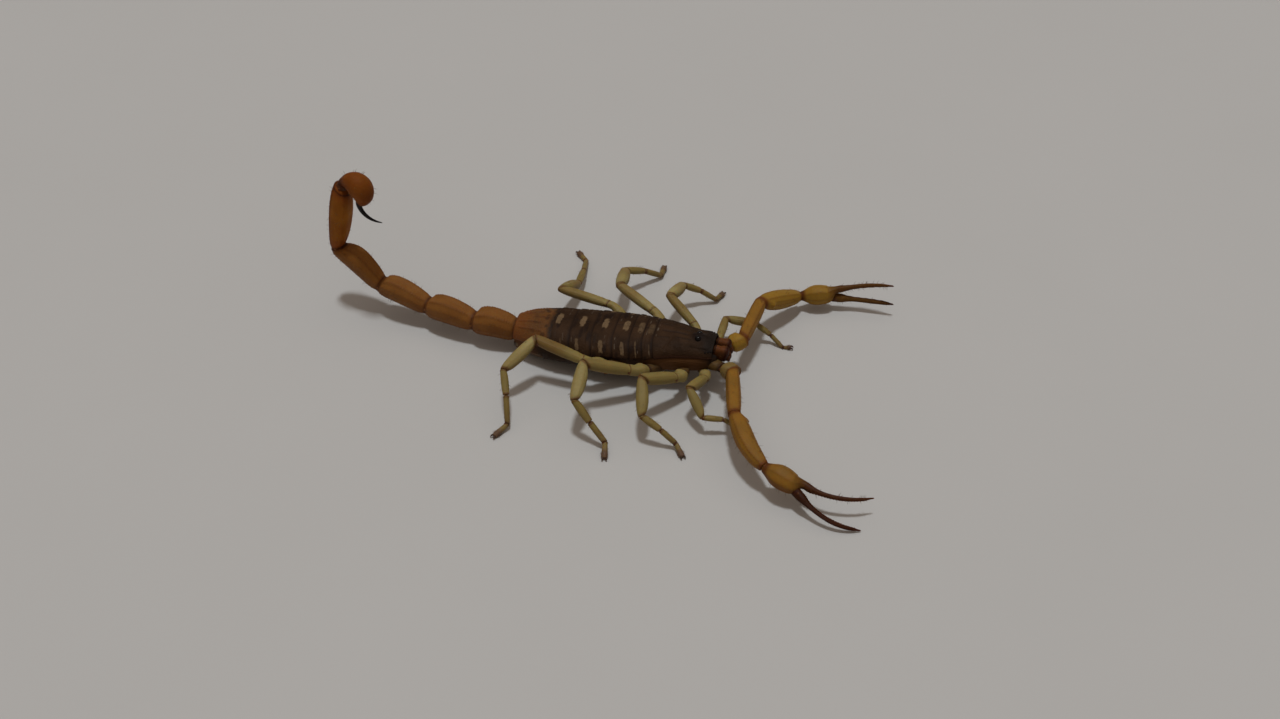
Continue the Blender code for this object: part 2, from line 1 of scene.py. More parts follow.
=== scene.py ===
import math
import bpy
import numpy as np
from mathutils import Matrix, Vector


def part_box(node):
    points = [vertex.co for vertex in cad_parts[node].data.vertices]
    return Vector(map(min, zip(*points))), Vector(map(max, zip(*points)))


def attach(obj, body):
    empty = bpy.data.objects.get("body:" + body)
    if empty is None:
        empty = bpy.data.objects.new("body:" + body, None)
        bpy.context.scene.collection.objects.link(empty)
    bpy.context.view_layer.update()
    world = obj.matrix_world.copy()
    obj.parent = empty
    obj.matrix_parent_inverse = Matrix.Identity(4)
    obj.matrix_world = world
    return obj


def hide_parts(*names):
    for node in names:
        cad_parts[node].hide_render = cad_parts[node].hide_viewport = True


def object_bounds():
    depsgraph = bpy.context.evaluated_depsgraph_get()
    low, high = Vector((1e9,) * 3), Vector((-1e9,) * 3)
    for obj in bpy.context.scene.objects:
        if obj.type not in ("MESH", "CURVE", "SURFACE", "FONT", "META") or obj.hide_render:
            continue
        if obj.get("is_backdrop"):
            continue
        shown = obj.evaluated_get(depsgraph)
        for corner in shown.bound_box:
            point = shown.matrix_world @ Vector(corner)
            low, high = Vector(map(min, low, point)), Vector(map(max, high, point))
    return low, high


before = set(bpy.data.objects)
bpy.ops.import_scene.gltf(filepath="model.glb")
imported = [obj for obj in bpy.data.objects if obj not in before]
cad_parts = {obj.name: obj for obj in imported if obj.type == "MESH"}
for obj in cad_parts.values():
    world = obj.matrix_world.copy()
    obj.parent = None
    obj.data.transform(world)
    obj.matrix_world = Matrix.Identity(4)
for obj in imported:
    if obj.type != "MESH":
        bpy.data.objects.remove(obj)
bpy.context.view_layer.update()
print("frame loaded:", len(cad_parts), "solids")

mm = 0.001                                  # shapes are worked out in millimetres
fullTurn = 2 * math.pi
upward = np.array([0.0, 0.0, 1.0])
chance = np.random.default_rng(11)
scene = bpy.context.scene
sideNames = {"left": 1, "right": -1}


def unit(arrows):
    return arrows / np.maximum(np.linalg.norm(arrows, axis=-1, keepdims=True), 1e-12)


def bell(x, width):                         # 1 at x = 0, falling off to both sides
    return np.exp(-(x / width) ** 2)


def ease(x, low, high):                     # 0 up to low, 1 from high on, an S between them
    t = np.clip((x - low) / (high - low), 0, 1)
    return t * t * (3 - 2 * t)


def between(x, low, rise, fall, high):      # 1 from rise to fall, easing to 0 at low and at high
    return ease(x, low, rise) * (1 - ease(x, fall, high))


def spread(a, b):                           # two parameters over the rows and columns of a grid
    return np.meshgrid(a, b, indexing="ij")


def around(columns, shift=0.0):             # angles all the way round a section
    return fullTurn * (np.arange(columns) + shift) / columns


def smooth(stations, values, at):
    # cubic through the stations: each stretch blends its end values and end slopes
    stations, values = np.asarray(stations, float), np.asarray(values, float)
    slopes = np.gradient(values, stations, axis=0)
    i = np.clip(np.searchsorted(stations, at, side="right") - 1, 0, len(stations) - 2)
    step = stations[i + 1] - stations[i]
    t = (at - stations[i]) / step
    if values.ndim > 1:
        step, t = step[..., None], t[..., None]
    near = (1 + 2 * t) * (1 - t) ** 2 * values[i] + t * (1 - t) ** 2 * step * slopes[i]
    far = t * t * (3 - 2 * t) * values[i + 1] + t * t * (t - 1) * step * slopes[i + 1]
    return near + far


hashWays = np.array([[127.1, 311.7, 74.7], [269.5, 183.3, 246.1], [113.5, 271.9, 124.6]])


def grains(spots, spacing, seed, reach=0.42):
    # one grain in each cube of a lattice, moved about inside it by a sine hash:
    # 1 at its middle, falling to 0 at reach cubes away
    place = spots / spacing
    cell = np.floor(place)
    nearest = np.full(place.shape[:-1], 9.0)
    for shift in np.ndindex(3, 3, 3):
        corner = cell + np.array(shift) - 1
        mixed = np.sin(corner @ hashWays.T + seed) * 43758.5453
        grain = corner + mixed - np.floor(mixed)
        nearest = np.minimum(nearest, np.linalg.norm(place - grain, axis=-1))
    return np.clip(1 - (nearest / reach) ** 2, 0, 1)


def twoGrains(spots, spacing, seed, second, finer=0.5):
    # grains of two sizes, the finer ones half as high
    return grains(spots, spacing, seed) + 0.5 * grains(spots, spacing * finer, second)


def gridNormals(grid, closed=True):
    # cross product of the step down the rows and the step across the columns
    down = np.gradient(grid, axis=0)
    over = np.roll(grid, -1, 1) - np.roll(grid, 1, 1) if closed else np.gradient(grid, axis=1)
    return unit(np.cross(over, down))


def outwards(tube):
    # a tube's normals, turned to point away from its middle line
    normals = gridNormals(tube["grid"])
    away = tube["grid"] - tube["frame"][0][:, None]
    return normals * np.sign(np.sum(normals * away, -1).mean())


def closedTube(grid, facts, poles):
    # quads between the rows of a grid that closes on itself, and a fan to a pole at each end
    rows, columns = grid.shape[:2]
    here = np.arange(rows * columns).reshape(rows, columns)
    then = np.roll(here, -1, 1)
    pole = np.full(columns, rows * columns)
    fans = np.concatenate([np.stack([pole, here[0], then[0]], -1),
                           np.stack([pole + 1, then[-1], here[-1]], -1)])
    full = {}
    for fact, values in facts.items():
        values = np.broadcast_to(values, (rows, columns))
        full[fact] = np.append(values, [values[0].mean(), values[-1].mean()])
    return {"spots": np.vstack([grid.reshape(-1, 3), poles]), "fans": fans, "facts": full,
            "quads": np.stack([here[:-1], here[1:], then[1:], then[:-1]], -1).reshape(-1, 4)}


def closedSlab(top, under, facts):
    # a sheet above and one below, joined by a wall round their shared rim
    rows, columns = top.shape[:2]
    here, below = np.arange(rows * columns).reshape(rows, columns), rows * columns
    sheet = np.stack([here[:-1, :-1], here[1:, :-1], here[1:, 1:], here[:-1, 1:]], -1).reshape(-1, 4)
    rim = np.concatenate([here[0, :-1], here[:-1, -1], here[-1, :0:-1], here[:0:-1, 0]])
    after = np.roll(rim, -1)
    wall = np.stack([rim, after, after + below, rim + below], -1)
    return {"spots": np.vstack([top.reshape(-1, 3), under.reshape(-1, 3)]), "fans": np.zeros((0, 3), int),
            "quads": np.concatenate([sheet, sheet[:, ::-1] + below, wall]),
            "facts": {fact: np.tile(values.ravel(), 2) for fact, values in facts.items()}}


def facingOut(solid):
    # the signed volume over its triangles tells which way the faces point
    spots, quads, fans = solid["spots"], solid["quads"], solid["fans"]
    spots = spots - spots.mean(0)
    tris = np.concatenate([quads[:, [0, 1, 2]], quads[:, [0, 2, 3]], fans])
    a, b, c = (spots[tris[:, k]] for k in range(3))
    if np.sum(a * np.cross(b, c)) < 0:
        solid["quads"], solid["fans"] = quads[:, ::-1], fans[:, ::-1]
    return solid


pieces = []


def addPiece(name, finishName, solids, stands=(), patches=None):
    # several closed solids joined into one mesh with their per-point facts, riding on the root body
    solids = [facingOut(solid) for solid in (solids if isinstance(solids, list) else [solids])]
    starts = np.cumsum([0] + [len(solid["spots"]) for solid in solids])
    spots = np.vstack([solid["spots"] for solid in solids]) * mm
    quads, fans = (np.concatenate([solid[part] + start for solid, start in zip(solids, starts)])
                   for part in ("quads", "fans"))
    corners = np.concatenate([quads.ravel(), fans.ravel()]).astype(np.int32)
    sizes = np.concatenate([np.full(len(quads), 4), np.full(len(fans), 3)])
    mesh = bpy.data.meshes.new(name)
    mesh.vertices.add(len(spots))
    mesh.vertices.foreach_set("co", spots.ravel())
    mesh.loops.add(len(corners))
    mesh.loops.foreach_set("vertex_index", corners)
    mesh.polygons.add(len(sizes))
    mesh.polygons.foreach_set("loop_start", (np.cumsum(sizes) - sizes).astype(np.int32))
    mesh.polygons.foreach_set("use_smooth", np.ones(len(sizes), bool))
    mesh.update(calc_edges=True)
    for fact in sorted(set().union(*(solid["facts"] for solid in solids))):
        values = [solid["facts"].get(fact, np.zeros(len(solid["spots"]))) for solid in solids]
        mesh.attributes.new(fact, "FLOAT", "POINT").data.foreach_set("value", np.concatenate(values))
    if patches is not None:
        mesh.uv_layers.new(name="OFBake").data.foreach_set("uv", patches[corners].ravel())
    mesh.materials.append(finishes[finishName])
    piece = bpy.data.objects.new(name, mesh)
    scene.collection.objects.link(piece)
    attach(piece, "root")
    if stands:
        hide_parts(*stands)
    pieces.append(piece)


def nodePoints(name):
    # a solid's corners in millimetres with doubles merged, and its triangles
    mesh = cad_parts[name].data
    spots = np.empty(len(mesh.vertices) * 3)
    mesh.vertices.foreach_get("co", spots)
    corners = np.empty(len(mesh.loops), int)
    mesh.loops.foreach_get("vertex_index", corners)
    points, index = np.unique(np.round(spots.reshape(-1, 3) / mm, 5), axis=0, return_inverse=True)
    return points, index.reshape(-1)[corners].reshape(-1, 3)


def nodeMiddle(name):                       # mean of a solid's corners
    return nodePoints(name)[0].mean(0)


def boxOf(name):                            # a solid's low and high corner in millimetres
    low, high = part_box(name)
    return np.array(low) / mm, np.array(high) / mm


def nodeRings(name, sides, near):
    # the rings of a lofted solid in order: the end nearest to near is the flat group of
    # sides - 2 triangles, and each next ring is what the last one's edges reach
    points, tris = nodePoints(name)
    a, b, c = (points[tris[:, k]] for k in range(3))
    normals = unit(np.cross(b - a, c - a))
    levels = np.sum(normals * (a - points.mean(0)), 1)
    flat = (normals @ normals.T > 0.9998) & (np.abs(levels[:, None] - levels) < 0.01)
    caps = np.flatnonzero(flat.sum(1) == sides - 2)
    middles = (a + b + c)[caps] / 3
    start = caps[np.argmin(np.linalg.norm(middles - near, axis=1))]
    level = np.zeros(len(points), bool)
    level[tris[flat[start]].ravel()] = True
    seen = level.copy()
    edges = np.concatenate([tris[:, [0, 1]], tris[:, [1, 2]], tris[:, [2, 0]]])
    edges = np.concatenate([edges, edges[:, ::-1]])
    rings = []
    while level.any():
        rings.append(points[level])
        reached = np.zeros(len(points), bool)
        reached[edges[level[edges[:, 0]], 1]] = True
        level = reached & ~seen
        seen |= level
    return rings


def lengthAlong(middles):                   # running sum of the steps between the points
    return np.append(0, np.cumsum(np.linalg.norm(np.diff(middles, axis=0), axis=1)))


def roundPath(middles, size, side, reach):  # a path whose sections stand square to it
    return {"reach": reach, "middle": middles, "size": size, "slant": np.zeros((len(size), 2)), "side": side}


def ringPath(rings, sides, side=None):
    # middle, half sizes and slant of each ring, in a frame that follows the line of middles
    middles = np.array([ring.mean(0) for ring in rings])
    reach = lengthAlong(middles)
    along = unit(np.gradient(middles, reach, axis=0))
    across = unit(np.cross(upward, along)) if side is None else np.broadcast_to(side, along.shape)
    lift = unit(np.cross(along, across))
    highest = math.cos(math.pi / sides)
    widest = 1.0 if sides == 10 else highest
    sizes, slants = [], []
    for ring, middle, a, s, u in zip(rings, middles, along, across, lift):
        x, y, z = (ring - middle) @ s, (ring - middle) @ u, (ring - middle) @ a
        sizes.append((np.abs(x).max() / widest, np.abs(y).max() / highest))
        slants.append(np.linalg.lstsq(np.column_stack([x, y]), z, rcond=None)[0])
    return {"reach": reach, "middle": middles, "size": np.array(sizes), "slant": np.array(slants),
            "side": side}


def pathAt(path, shares):
    # the path's middle, frame, half sizes and slant at shares of its length, straight on past its ends
    reach, side = path["reach"], path["side"]
    inside = np.clip(shares, 0, 1) * reach[-1]
    hop = 0.02 * reach[-1]
    ahead = smooth(reach, path["middle"], np.minimum(inside + hop, reach[-1]))
    forward = unit(ahead - smooth(reach, path["middle"], np.maximum(inside - hop, 0)))
    middle = smooth(reach, path["middle"], inside) + forward * (shares * reach[-1] - inside)[:, None]
    across = unit(np.cross(upward, forward)) if side is None else np.broadcast_to(side, forward.shape)
    lift = unit(np.cross(forward, across))
    size, slant = (smooth(reach, path[part], inside) for part in ("size", "slant"))
    return middle, forward, across, lift, size, slant


def endOf(path, share):                     # middle, way, side and half sizes at one share of a path
    middle, forward, across, lift, size, slant = pathAt(path, np.array([share]))
    return middle[0], forward[0], across[0], size[0]


def keelLift(keels, share, turn, length):
    # each keel is a bell round the section times its run along the part times a row of beads:
    # (angle from the top, height, width in degrees, start, stop, beads per mm, flare towards its end),
    # on both sides unless on the midline, with no beads or flare where those numbers are left out
    lift, ridge = np.zeros(share.shape), np.zeros(share.shape)
    for angle, height, width, start, stop, *more in keels:
        beads, flare = (*more, 0, 0)[:2]
        run = between(share, start - 0.03, start + 0.05, stop - 0.03, stop + 0.03)
        bead = 0.72 + 0.28 * np.cos(fullTurn * beads * share * length) if beads else 1.0
        for way in {angle, -angle if 0 < angle < 180 else angle}:
            off = (turn - math.radians(way) + math.pi) % fullTurn - math.pi
            band = bell(off, math.radians(width)) * run
            lift += height * band * bead * (1 + flare * ease(share, 0.55, stop))
            ridge = np.maximum(ridge, band * min(1.0, max(0.0, height) / 0.10))
    return lift, ridge


capRows = 6                                 # rows that round off each end of a swept part


def sweep(path, look, rows, columns):
    # a closed section carried along a path: point = middle + across x + lift y + forward (slant . (x, y)),
    # where x and y trace a rounded section of the path's half sizes with keels raised on it;
    # both ends close in a quarter ellipse
    first, last = look.get("start", 0.0), look.get("stop", 1.0)
    length = path["reach"][-1]
    q = np.linspace(0, math.pi / 2, capRows + 2)[1:-1]
    nose, tail = look.get("nose", 0.12) / length, look.get("tail", 0.12) / length
    share = np.concatenate([first - nose * np.sin(q[::-1]), np.linspace(first, last, rows),
                            last + tail * np.sin(q)])
    scale = np.concatenate([np.cos(q[::-1]), np.ones(rows), np.cos(q)])
    middle, forward, across, lift, size, slant = pathAt(path, share)
    swell = smooth(*look["swell"], np.clip(share, 0, 1)) if "swell" in look else 1.0
    size = size * (scale * swell * look.get("fit", 1.0))[:, None]
    share, turn = spread(share, around(columns, 0.5))
    power, sine, cosine = look.get("square", 2.2), np.sin(turn), np.cos(turn)
    roundness = (np.abs(sine) ** power + np.abs(cosine) ** power) ** (-1 / power)
    raised, ridge = keelLift(look.get("keels", ()), share, turn, length)
    raised = raised * scale[:, None] ** 0.5
    x = sine * (size[:, :1] * roundness + raised)
    y = cosine * (size[:, 1:] * roundness + raised)
    grid = (middle[:, None] + across[:, None] * x[..., None] + lift[:, None] * y[..., None]
            + forward[:, None] * (slant[:, None, 0] * x + slant[:, None, 1] * y)[..., None])
    dark = look.get("dark", 0.05)
    return {"grid": grid, "share": share, "turn": turn, "ridge": ridge, "frame": (middle, forward),
            "joint": np.maximum(bell(share - first, dark), bell(last - share, dark)),
            "poles": pathAt(path, np.array([first - nose, last + tail]))[0]}


def roughen(tube, spacing, height, seed, where=1.0):
    # raises grains of two sizes along the surface's own normals
    raised = twoGrains(tube["grid"], spacing, seed, seed + 3, 0.55)
    tube["grid"] = tube["grid"] + outwards(tube) * (height * raised * where)[..., None]
    return tube


bristleRoots = {}                           # coat name: list of (roots, ways, lengths, places on the unwrap)
unwrapCells = 10                            # on each side of the unwrap, each with a margin
cellStart, cellShare = 0.06, 0.86


def plant(coat, tube, cell, count, length, lean=0.5, low=0.05, high=0.95, turns=()):
    # picks roots on a tube at random and gives each a way, a length and its place on the unwrap
    rows, columns = tube["grid"].shape[:2]
    r = capRows + 1 + (chance.uniform(low, high, count) * (rows - 2 * capRows - 3)).astype(int)
    if turns:                               # only near these angles from the top
        angle = np.radians(chance.choice(turns, count) + chance.normal(0, 8, count))
    else:
        angle = chance.uniform(0, fullTurn, count)
    c = ((angle / fullTurn) % 1 * columns).astype(int) % columns
    way = unit(outwards(tube)[r, c] + tube["frame"][1][r] * lean + chance.normal(0, 0.15, (count, 3)))
    lengths = length * chance.uniform(0.6, 1.15, count)
    place = (np.array([cell % unwrapCells, cell // unwrapCells]) + cellStart
             + cellShare * np.column_stack([r / rows, c / columns])) / unwrapCells
    bristleRoots.setdefault(coat, []).append((tube["grid"][r, c], way, lengths, place))


def solidOf(tube, **more):                  # a swept tube closed, with its ridges, joints and more
    return closedTube(tube["grid"], {"ridge": tube["ridge"], "joint": tube["joint"], **more}, tube["poles"])


def ball(middle, radii, axes, columns=20, **values):
    # an ellipsoid: rings of cos(angle) carried along its last axis
    q = np.linspace(-math.pi / 2, math.pi / 2, columns // 2 + 1)[1:-1]
    turn = around(columns)
    x = np.cos(q)[:, None] * np.sin(turn) * radii[0]
    y = np.cos(q)[:, None] * np.cos(turn) * radii[1]
    z = (np.sin(q)[:, None] + 0 * turn) * radii[2]
    grid = middle + x[..., None] * axes[0] + y[..., None] * axes[1] + z[..., None] * axes[2]
    return closedTube(grid, values, np.array([middle - axes[2] * radii[2], middle + axes[2] * radii[2]]))


def thorn(route, radii, columns):
    # a round section carried along a short curved route, down to a point at its far end
    route = np.asarray(route, float)
    share = np.linspace(0, 1, 14)
    middle = smooth(np.linspace(0, 1, len(route)), route, share)
    forward = unit(np.gradient(middle, axis=0))
    across = unit(np.cross(upward, forward))
    lift = np.cross(forward, across)
    radius = np.interp(share, np.linspace(0, 1, len(radii)), radii)[:, None]
    turn = around(columns)
    grid = (middle[:, None] + across[:, None] * (radius * np.sin(turn))[..., None]
            + lift[:, None] * (radius * np.cos(turn))[..., None])
    poles = np.array([middle[0] - forward[0] * radius[0] * 0.3, middle[-1] + forward[-1] * radius[-1] * 2])
    return closedTube(grid, {"tip": share[:, None]}, poles)


class Flow:
    # one socket of a material's tree, so that sums and products of masks read as plain arithmetic
    def __init__(self, finish, socket):
        self.finish, self.socket = finish, socket

    def __add__(self, other):
        return self.finish.sum("ADD", self, other)

    def __sub__(self, other):
        return self.finish.sum("SUBTRACT", self, other)

    def __rsub__(self, other):
        return self.finish.sum("SUBTRACT", other, self)

    def __mul__(self, other):
        return self.finish.sum("MULTIPLY", self, other)

    def held(self):                         # kept between 0 and 1
        return self.finish.node("ShaderNodeMath", {"operation": "ADD", "use_clamp": True}, {0: self, 1: 0.0})

    __radd__, __rmul__ = __add__, __mul__


class Finish:
    # a material with one Principled shader, built up node by node
    def __init__(self, name):
        self.material = bpy.data.materials.new(name)
        self.material.use_nodes = True
        self.tree = self.material.node_tree
        self.shader = self.tree.nodes["Principled BSDF"]
        self.place = self.node("ShaderNodeTexCoord", out="Object")

    def node(self, kind, settings=None, sockets=None, out=0):
        made = self.tree.nodes.new(kind)
        for setting, value in (settings or {}).items():
            setattr(made, setting, value)
        for socket, value in (sockets or {}).items():
            self.feed(made.inputs[socket], value)
        return Flow(self, made.outputs[out])

    def feed(self, socket, value):
        if isinstance(value, Flow):
            self.tree.links.new(value.socket, socket)
        elif isinstance(value, tuple) and len(value) == 3 and socket.type == "RGBA":
            socket.default_value = (*value, 1.0)
        else:
            socket.default_value = value

    def sum(self, operation, a, b):
        return self.node("ShaderNodeMath", {"operation": operation}, {0: a, 1: b})

    def fact(self, name):
        return self.node("ShaderNodeAttribute", {"attribute_name": name}, out="Fac")

    def noise(self, scale, detail=2.0, rough=0.5):
        return self.node("ShaderNodeTexNoise", {}, {"Vector": self.place, "Scale": scale, "Detail": detail,
                                                    "Roughness": rough})

    def blend(self, a, b, share):           # colour a where share is 0, colour b where it is 1
        return self.node("ShaderNodeMix", {"data_type": "RGBA"}, {0: share, 6: a, 7: b}, out=2)

    def done(self, colour, rough, height, reach, fixed):
        normal = self.node("ShaderNodeBump", {}, {"Strength": 1.0, "Distance": reach, "Height": height})
        for socket, value in {"Base Color": colour, "Roughness": rough, "Normal": normal, **fixed}.items():
            self.feed(self.shader.inputs[socket], value)
        return self.material


# scales of the noise in every shell, and how strongly its freckles show
shellGrain = {"clouds": 500.0, "speck": 9000.0, "streak": 2200.0, "pits": 6500.0, "freckle": 0.5}
# each coat of colour lies where its fact is 1; the first number lets streaks into it, the second is steady
coats = {"mark": (1.1, 0.45), "line": (1.6, 0.1), "under": None, "ridge": (1.0, 0.45), "joint": (0.8, 0.55),
         "tip": None}


def shellFinish(name, look):
    # horny shell: two tones in soft clouds, the coats of its look over them, freckles, and fine grain in
    # the gloss and the relief; colours are given in thousandths
    finish = Finish(name)
    look = {key: tuple(part / 1000 for part in value) if isinstance(value, tuple) else value
            for key, value in look.items()}
    clouds = ((finish.noise(shellGrain["clouds"], 3.0) - 0.5) * 3.2 + 0.5).held()
    speck = finish.noise(shellGrain["speck"], 3.0, 0.6)
    streak = finish.noise(shellGrain["streak"])
    colour = finish.blend(look["base"], look["tone"], clouds)
    for fact, streaky in coats.items():
        if fact in look:
            share = finish.fact(fact)
            if streaky:
                share = share * (streak * streaky[0] + streaky[1])
            if fact == "ridge":
                share = share * look.get("keelShare", 0.8)
            colour = finish.blend(colour, look[fact], share.held())
    freckle = tuple(0.72 * part for part in look["base"])
    colour = finish.blend(colour, freckle, (speck * 1.6 - 0.72).held() * shellGrain["freckle"])
    rough = look.get("rough", 0.52) + (speck - 0.5) * 0.25 + finish.fact("mark") * 0.05
    pits = finish.node("ShaderNodeTexVoronoi", {}, {"Vector": finish.place, "Scale": shellGrain["pits"]},
                       out="Distance")
    return finish.done(colour, rough, pits * 0.6 + speck * 0.6, look.get("relief", 0.000022),
                       {"Specular IOR Level": look.get("gloss", 0.20),
                        "Subsurface Weight": look.get("glow", 0.3), "Subsurface Scale": 0.0006,
                        "Subsurface Radius": (1.0, 0.4, 0.12)})


shellLooks = {
    "darkShell": dict(base=(29, 14.5, 7), tone=(56, 28.5, 14.5), ridge=(12, 8, 7), joint=(13, 7.2, 6.2),
                      mark=(200, 130, 70), under=(45, 17, 9), line=(200, 160, 120), tip=(17.5, 13, 10.8),
                      rough=0.55, keelShare=0.4, gloss=0.06, glow=0.0),
    "rearShell": dict(base=(180, 72, 18), tone=(130, 55, 17), ridge=(70, 24, 9), joint=(50, 16, 7),
                      mark=(24, 13, 8), under=(100, 34, 12), tip=(205, 66, 15), keelShare=0.45, gloss=0.11),
    # the belly plates' under colour is painted shade for their sides under the body
    "bellyShell": dict(base=(170, 95, 40), tone=(120, 62, 26), ridge=(70, 30, 14), joint=(50, 20, 10),
                       mark=(300, 210, 110), under=(24, 13, 8)),
    "flankSkin": dict(base=(26, 14.5, 8.5), tone=(40, 20, 10), joint=(15, 9, 7), mark=(80, 45, 25),
                      under=(120, 53, 19), tip=(115, 44, 14), rough=0.6, gloss=0.08, glow=0.0),
    # on the tail shells the under colour is painted shade for the segments' lower sides
    "tailShell": dict(base=(248, 103, 22.5), tone=(202, 78, 17), ridge=(95, 30, 8), joint=(75, 20, 6),
                      mark=(300, 122, 24), under=(110, 32, 8), keelShare=0.32, gloss=0.12),
    "endShell": dict(base=(340, 120, 11.5), tone=(260, 81, 8), ridge=(80, 22, 5), joint=(55, 12, 5),
                     mark=(240, 60, 10), under=(125, 32, 6), keelShare=0.32, gloss=0.06),
    "bulbShell": dict(base=(225, 62, 9), tone=(182, 49, 7.5), ridge=(90, 22, 5), joint=(35, 8, 4),
                      mark=(290, 95, 12), under=(110, 26, 6), tip=(50, 13, 6), keelShare=0.4, gloss=0.06),
    "stingHorn": dict(base=(6, 4, 3.5), tone=(9, 5, 4), joint=(50, 14, 7), rough=0.38, gloss=0.25,
                      relief=0.000006, glow=0.0),
    "palpShell": dict(base=(305, 143, 18), tone=(240, 120, 18), ridge=(85, 21, 6), joint=(135, 36, 7),
                      mark=(370, 215, 26), under=(130, 36, 9), tip=(58, 14.5, 3.5),
                      keelShare=0.45, gloss=0.14),
    "fingerShell": dict(base=(50, 12.5, 2.8), tone=(38, 9.5, 2.5), ridge=(30, 8, 4), joint=(50, 12, 6),
                        mark=(260, 130, 20), under=(50, 13, 5), gloss=0.10),
    # legShell's mark colour is the legs' pale colour and, on the patellas, painted light
    "legShell": dict(base=(270, 195, 55), tone=(215, 160, 46), ridge=(170, 90, 24), joint=(130, 55, 18),
                     mark=(390, 315, 125), under=(190, 105, 28), tip=(150, 85, 52), keelShare=0.5),
    "jawShell": dict(base=(100, 34, 9), tone=(66, 22, 7), ridge=(35, 10, 5), joint=(25, 8, 5),
                     mark=(155, 48, 11), tip=(40, 7.5, 3.5), gloss=0.12),
    "rootShell": dict(base=(105, 56, 16), tone=(75, 40, 13), ridge=(60, 30, 12), joint=(45, 20, 10),
                      mark=(170, 105, 38), under=(60, 28, 12), tip=(30, 13, 8), keelShare=0.5, gloss=0.12),
    "combShell": dict(base=(340, 220, 100), tone=(270, 160, 70), ridge=(160, 80, 35), tip=(160, 80, 35),
                      mark=(420, 310, 170)),
    "jointSkin": dict(base=(105, 32, 9), tone=(75, 21, 7), ridge=(200, 65, 14), rough=0.55, keelShare=1.0),
    "clawHorn": dict(base=(95, 46, 28), tone=(70, 34, 20), tip=(20, 11, 8), rough=0.40, gloss=0.2),
    "bristleHorn": dict(base=(160, 75, 28), tone=(110, 50, 20), rough=0.4, glow=0.0),
}
finishes = {name: shellFinish(name, look) for name, look in shellLooks.items()}

# the eyes are black glass with a faint brown depth under a clear coat
glass = Finish("eyeGlass")
depth = ((glass.noise(2500.0, 2.0) - 0.5) * 2.0 + 0.5).held()
finishes["eyeGlass"] = glass.done(
    glass.blend((0.004, 0.004, 0.005), (0.016, 0.012, 0.012), depth), 0.10 + glass.noise(9000.0) * 0.06,
    glass.noise(7000.0), 0.000002, {"Coat Weight": 0.05, "Coat Roughness": 0.05, "Specular IOR Level": 0.16})
print("finishes:", len(finishes))

headFront = boxOf("carapace")[1][0]
middleY = sum(boxOf("carapace")[k][1] for k in (0, 1)) / 2
backLook = {"skirt": 0.20, "thick": 0.16, "frontNarrow": 0.06, "headEdge": 0.17, "frontRise": 0.30,
            "sweep": 0.42}


def stationTable(names, width, many):
    # a row for each cross-section of the solids that is wide enough and has enough corners:
    # distance behind the head's front, half width, lowest and highest
    rows = []
    for points in (nodePoints(name)[0] for name in names):
        for x in np.unique(np.round(points[:, 0], 2)):
            ring = points[np.abs(points[:, 0] - x) < 0.02]
            if len(ring) > many and np.ptp(ring[:, 1]) > width:
                rows.append((headFront - x, np.ptp(ring[:, 1]) / 2, ring[:, 2].min(), ring[:, 2].max()))
    rows = np.array(sorted(rows))
    return rows[np.append(True, np.diff(rows[:, 0]) > 0.3)]


trunk = stationTable(["carapace"] + [f"tergite_{number}" for number in range(1, 8)], 3.0, 12)
trunk[:, 2] += backLook["skirt"]
belly = stationTable(["belly"], 0.0, 2)


def halfWidth(d):                           # of the back, at a distance behind the head's front
    return smooth(trunk[:, 0], trunk[:, 1], d)


def backSheet(d, w):
    # the back's arch: height = edge + (crown - edge) (1 - |sway|^2.4)^0.5 with sway = sin(quarter turn x w);
    # past w = 1 the sheet hangs down as a short skirt that curls in; the plates' sides sweep forward
    half, edge, crown = smooth(trunk[:, 0], trunk[:, 1:], d).transpose(2, 0, 1)
    half = half * (1 - backLook["frontNarrow"] * (1 - np.clip(d - 0.25, 0, 1.1) / 1.1) ** 2)
    edge = edge + backLook["headEdge"] * (1 - ease(d, 5.5, 8.0))
    crown = crown + backLook["frontRise"] * (1 - ease(d, 0.0, 2.6))
    sway = np.sin(np.clip(w, -1, 1) * math.pi / 2)
    skirt = np.clip(np.abs(w) - 1, 0, None) / 0.12
    y = half * sway * (1 - 0.05 * skirt ** 2)
    z = edge + (crown - edge) * np.maximum(0, 1 - np.abs(sway) ** 2.4) ** 0.5 - backLook["skirt"] * skirt
    forward = backLook["sweep"] * ease(np.abs(w), 0.3, 1.0) * between(d, 3.0, 6.5, 18.9, 22.0)
    return np.stack([headFront - d + forward, middleY + y, z], -1)


def backPlate(name, finishName, start, stop, rows, shape):
    # a sheet of the back raised along its own normals by shape(d, y, w, sheet), and thickened inwards
    d, w = spread(np.linspace(start, stop, rows), np.linspace(-1.12, 1.12, 150))
    sheet = backSheet(d, w)
    normals = gridNormals(sheet, False)
    normals *= np.sign(normals[rows // 2, 75, 2])
    lift, found = shape(d, sheet[..., 1] - middleY, w, sheet)
    under = sheet - normals * (backLook["thick"] - np.minimum(lift, 0))[..., None]
    addPiece(name, finishName, closedSlab(sheet + normals * lift[..., None], under, found), [name])


tergiteLook = {
    "tuck": 0.45, "sink": 0.13, "lip": 0.05, "grain": 0.30, "grainHeight": 0.035, "keel": 0.06,
    "spotHalf": (0.30, 0.80), "flankAt": 0.69,
    # the pale marks of each plate: where the middle spot and the side spots lie along it, the side spots'
    # half length and half width, and how pale each is
    "marks": {1: (0.50, 0.36, 0.05, 0.20, 0.35, 0.35), 2: (0.43, 0.62, 0.07, 0.24, 0.55, 0.60),
              3: (0.47, 0.48, 0.20, 0.20, 0.85, 0.75), 4: (0.58, 0.60, 0.24, 0.19, 0.95, 0.80),
              5: (0.64, 0.72, 0.20, 0.16, 1.00, 0.70), 6: (0.88, 0.55, 0.06, 0.14, 0.95, 0.30)},
}


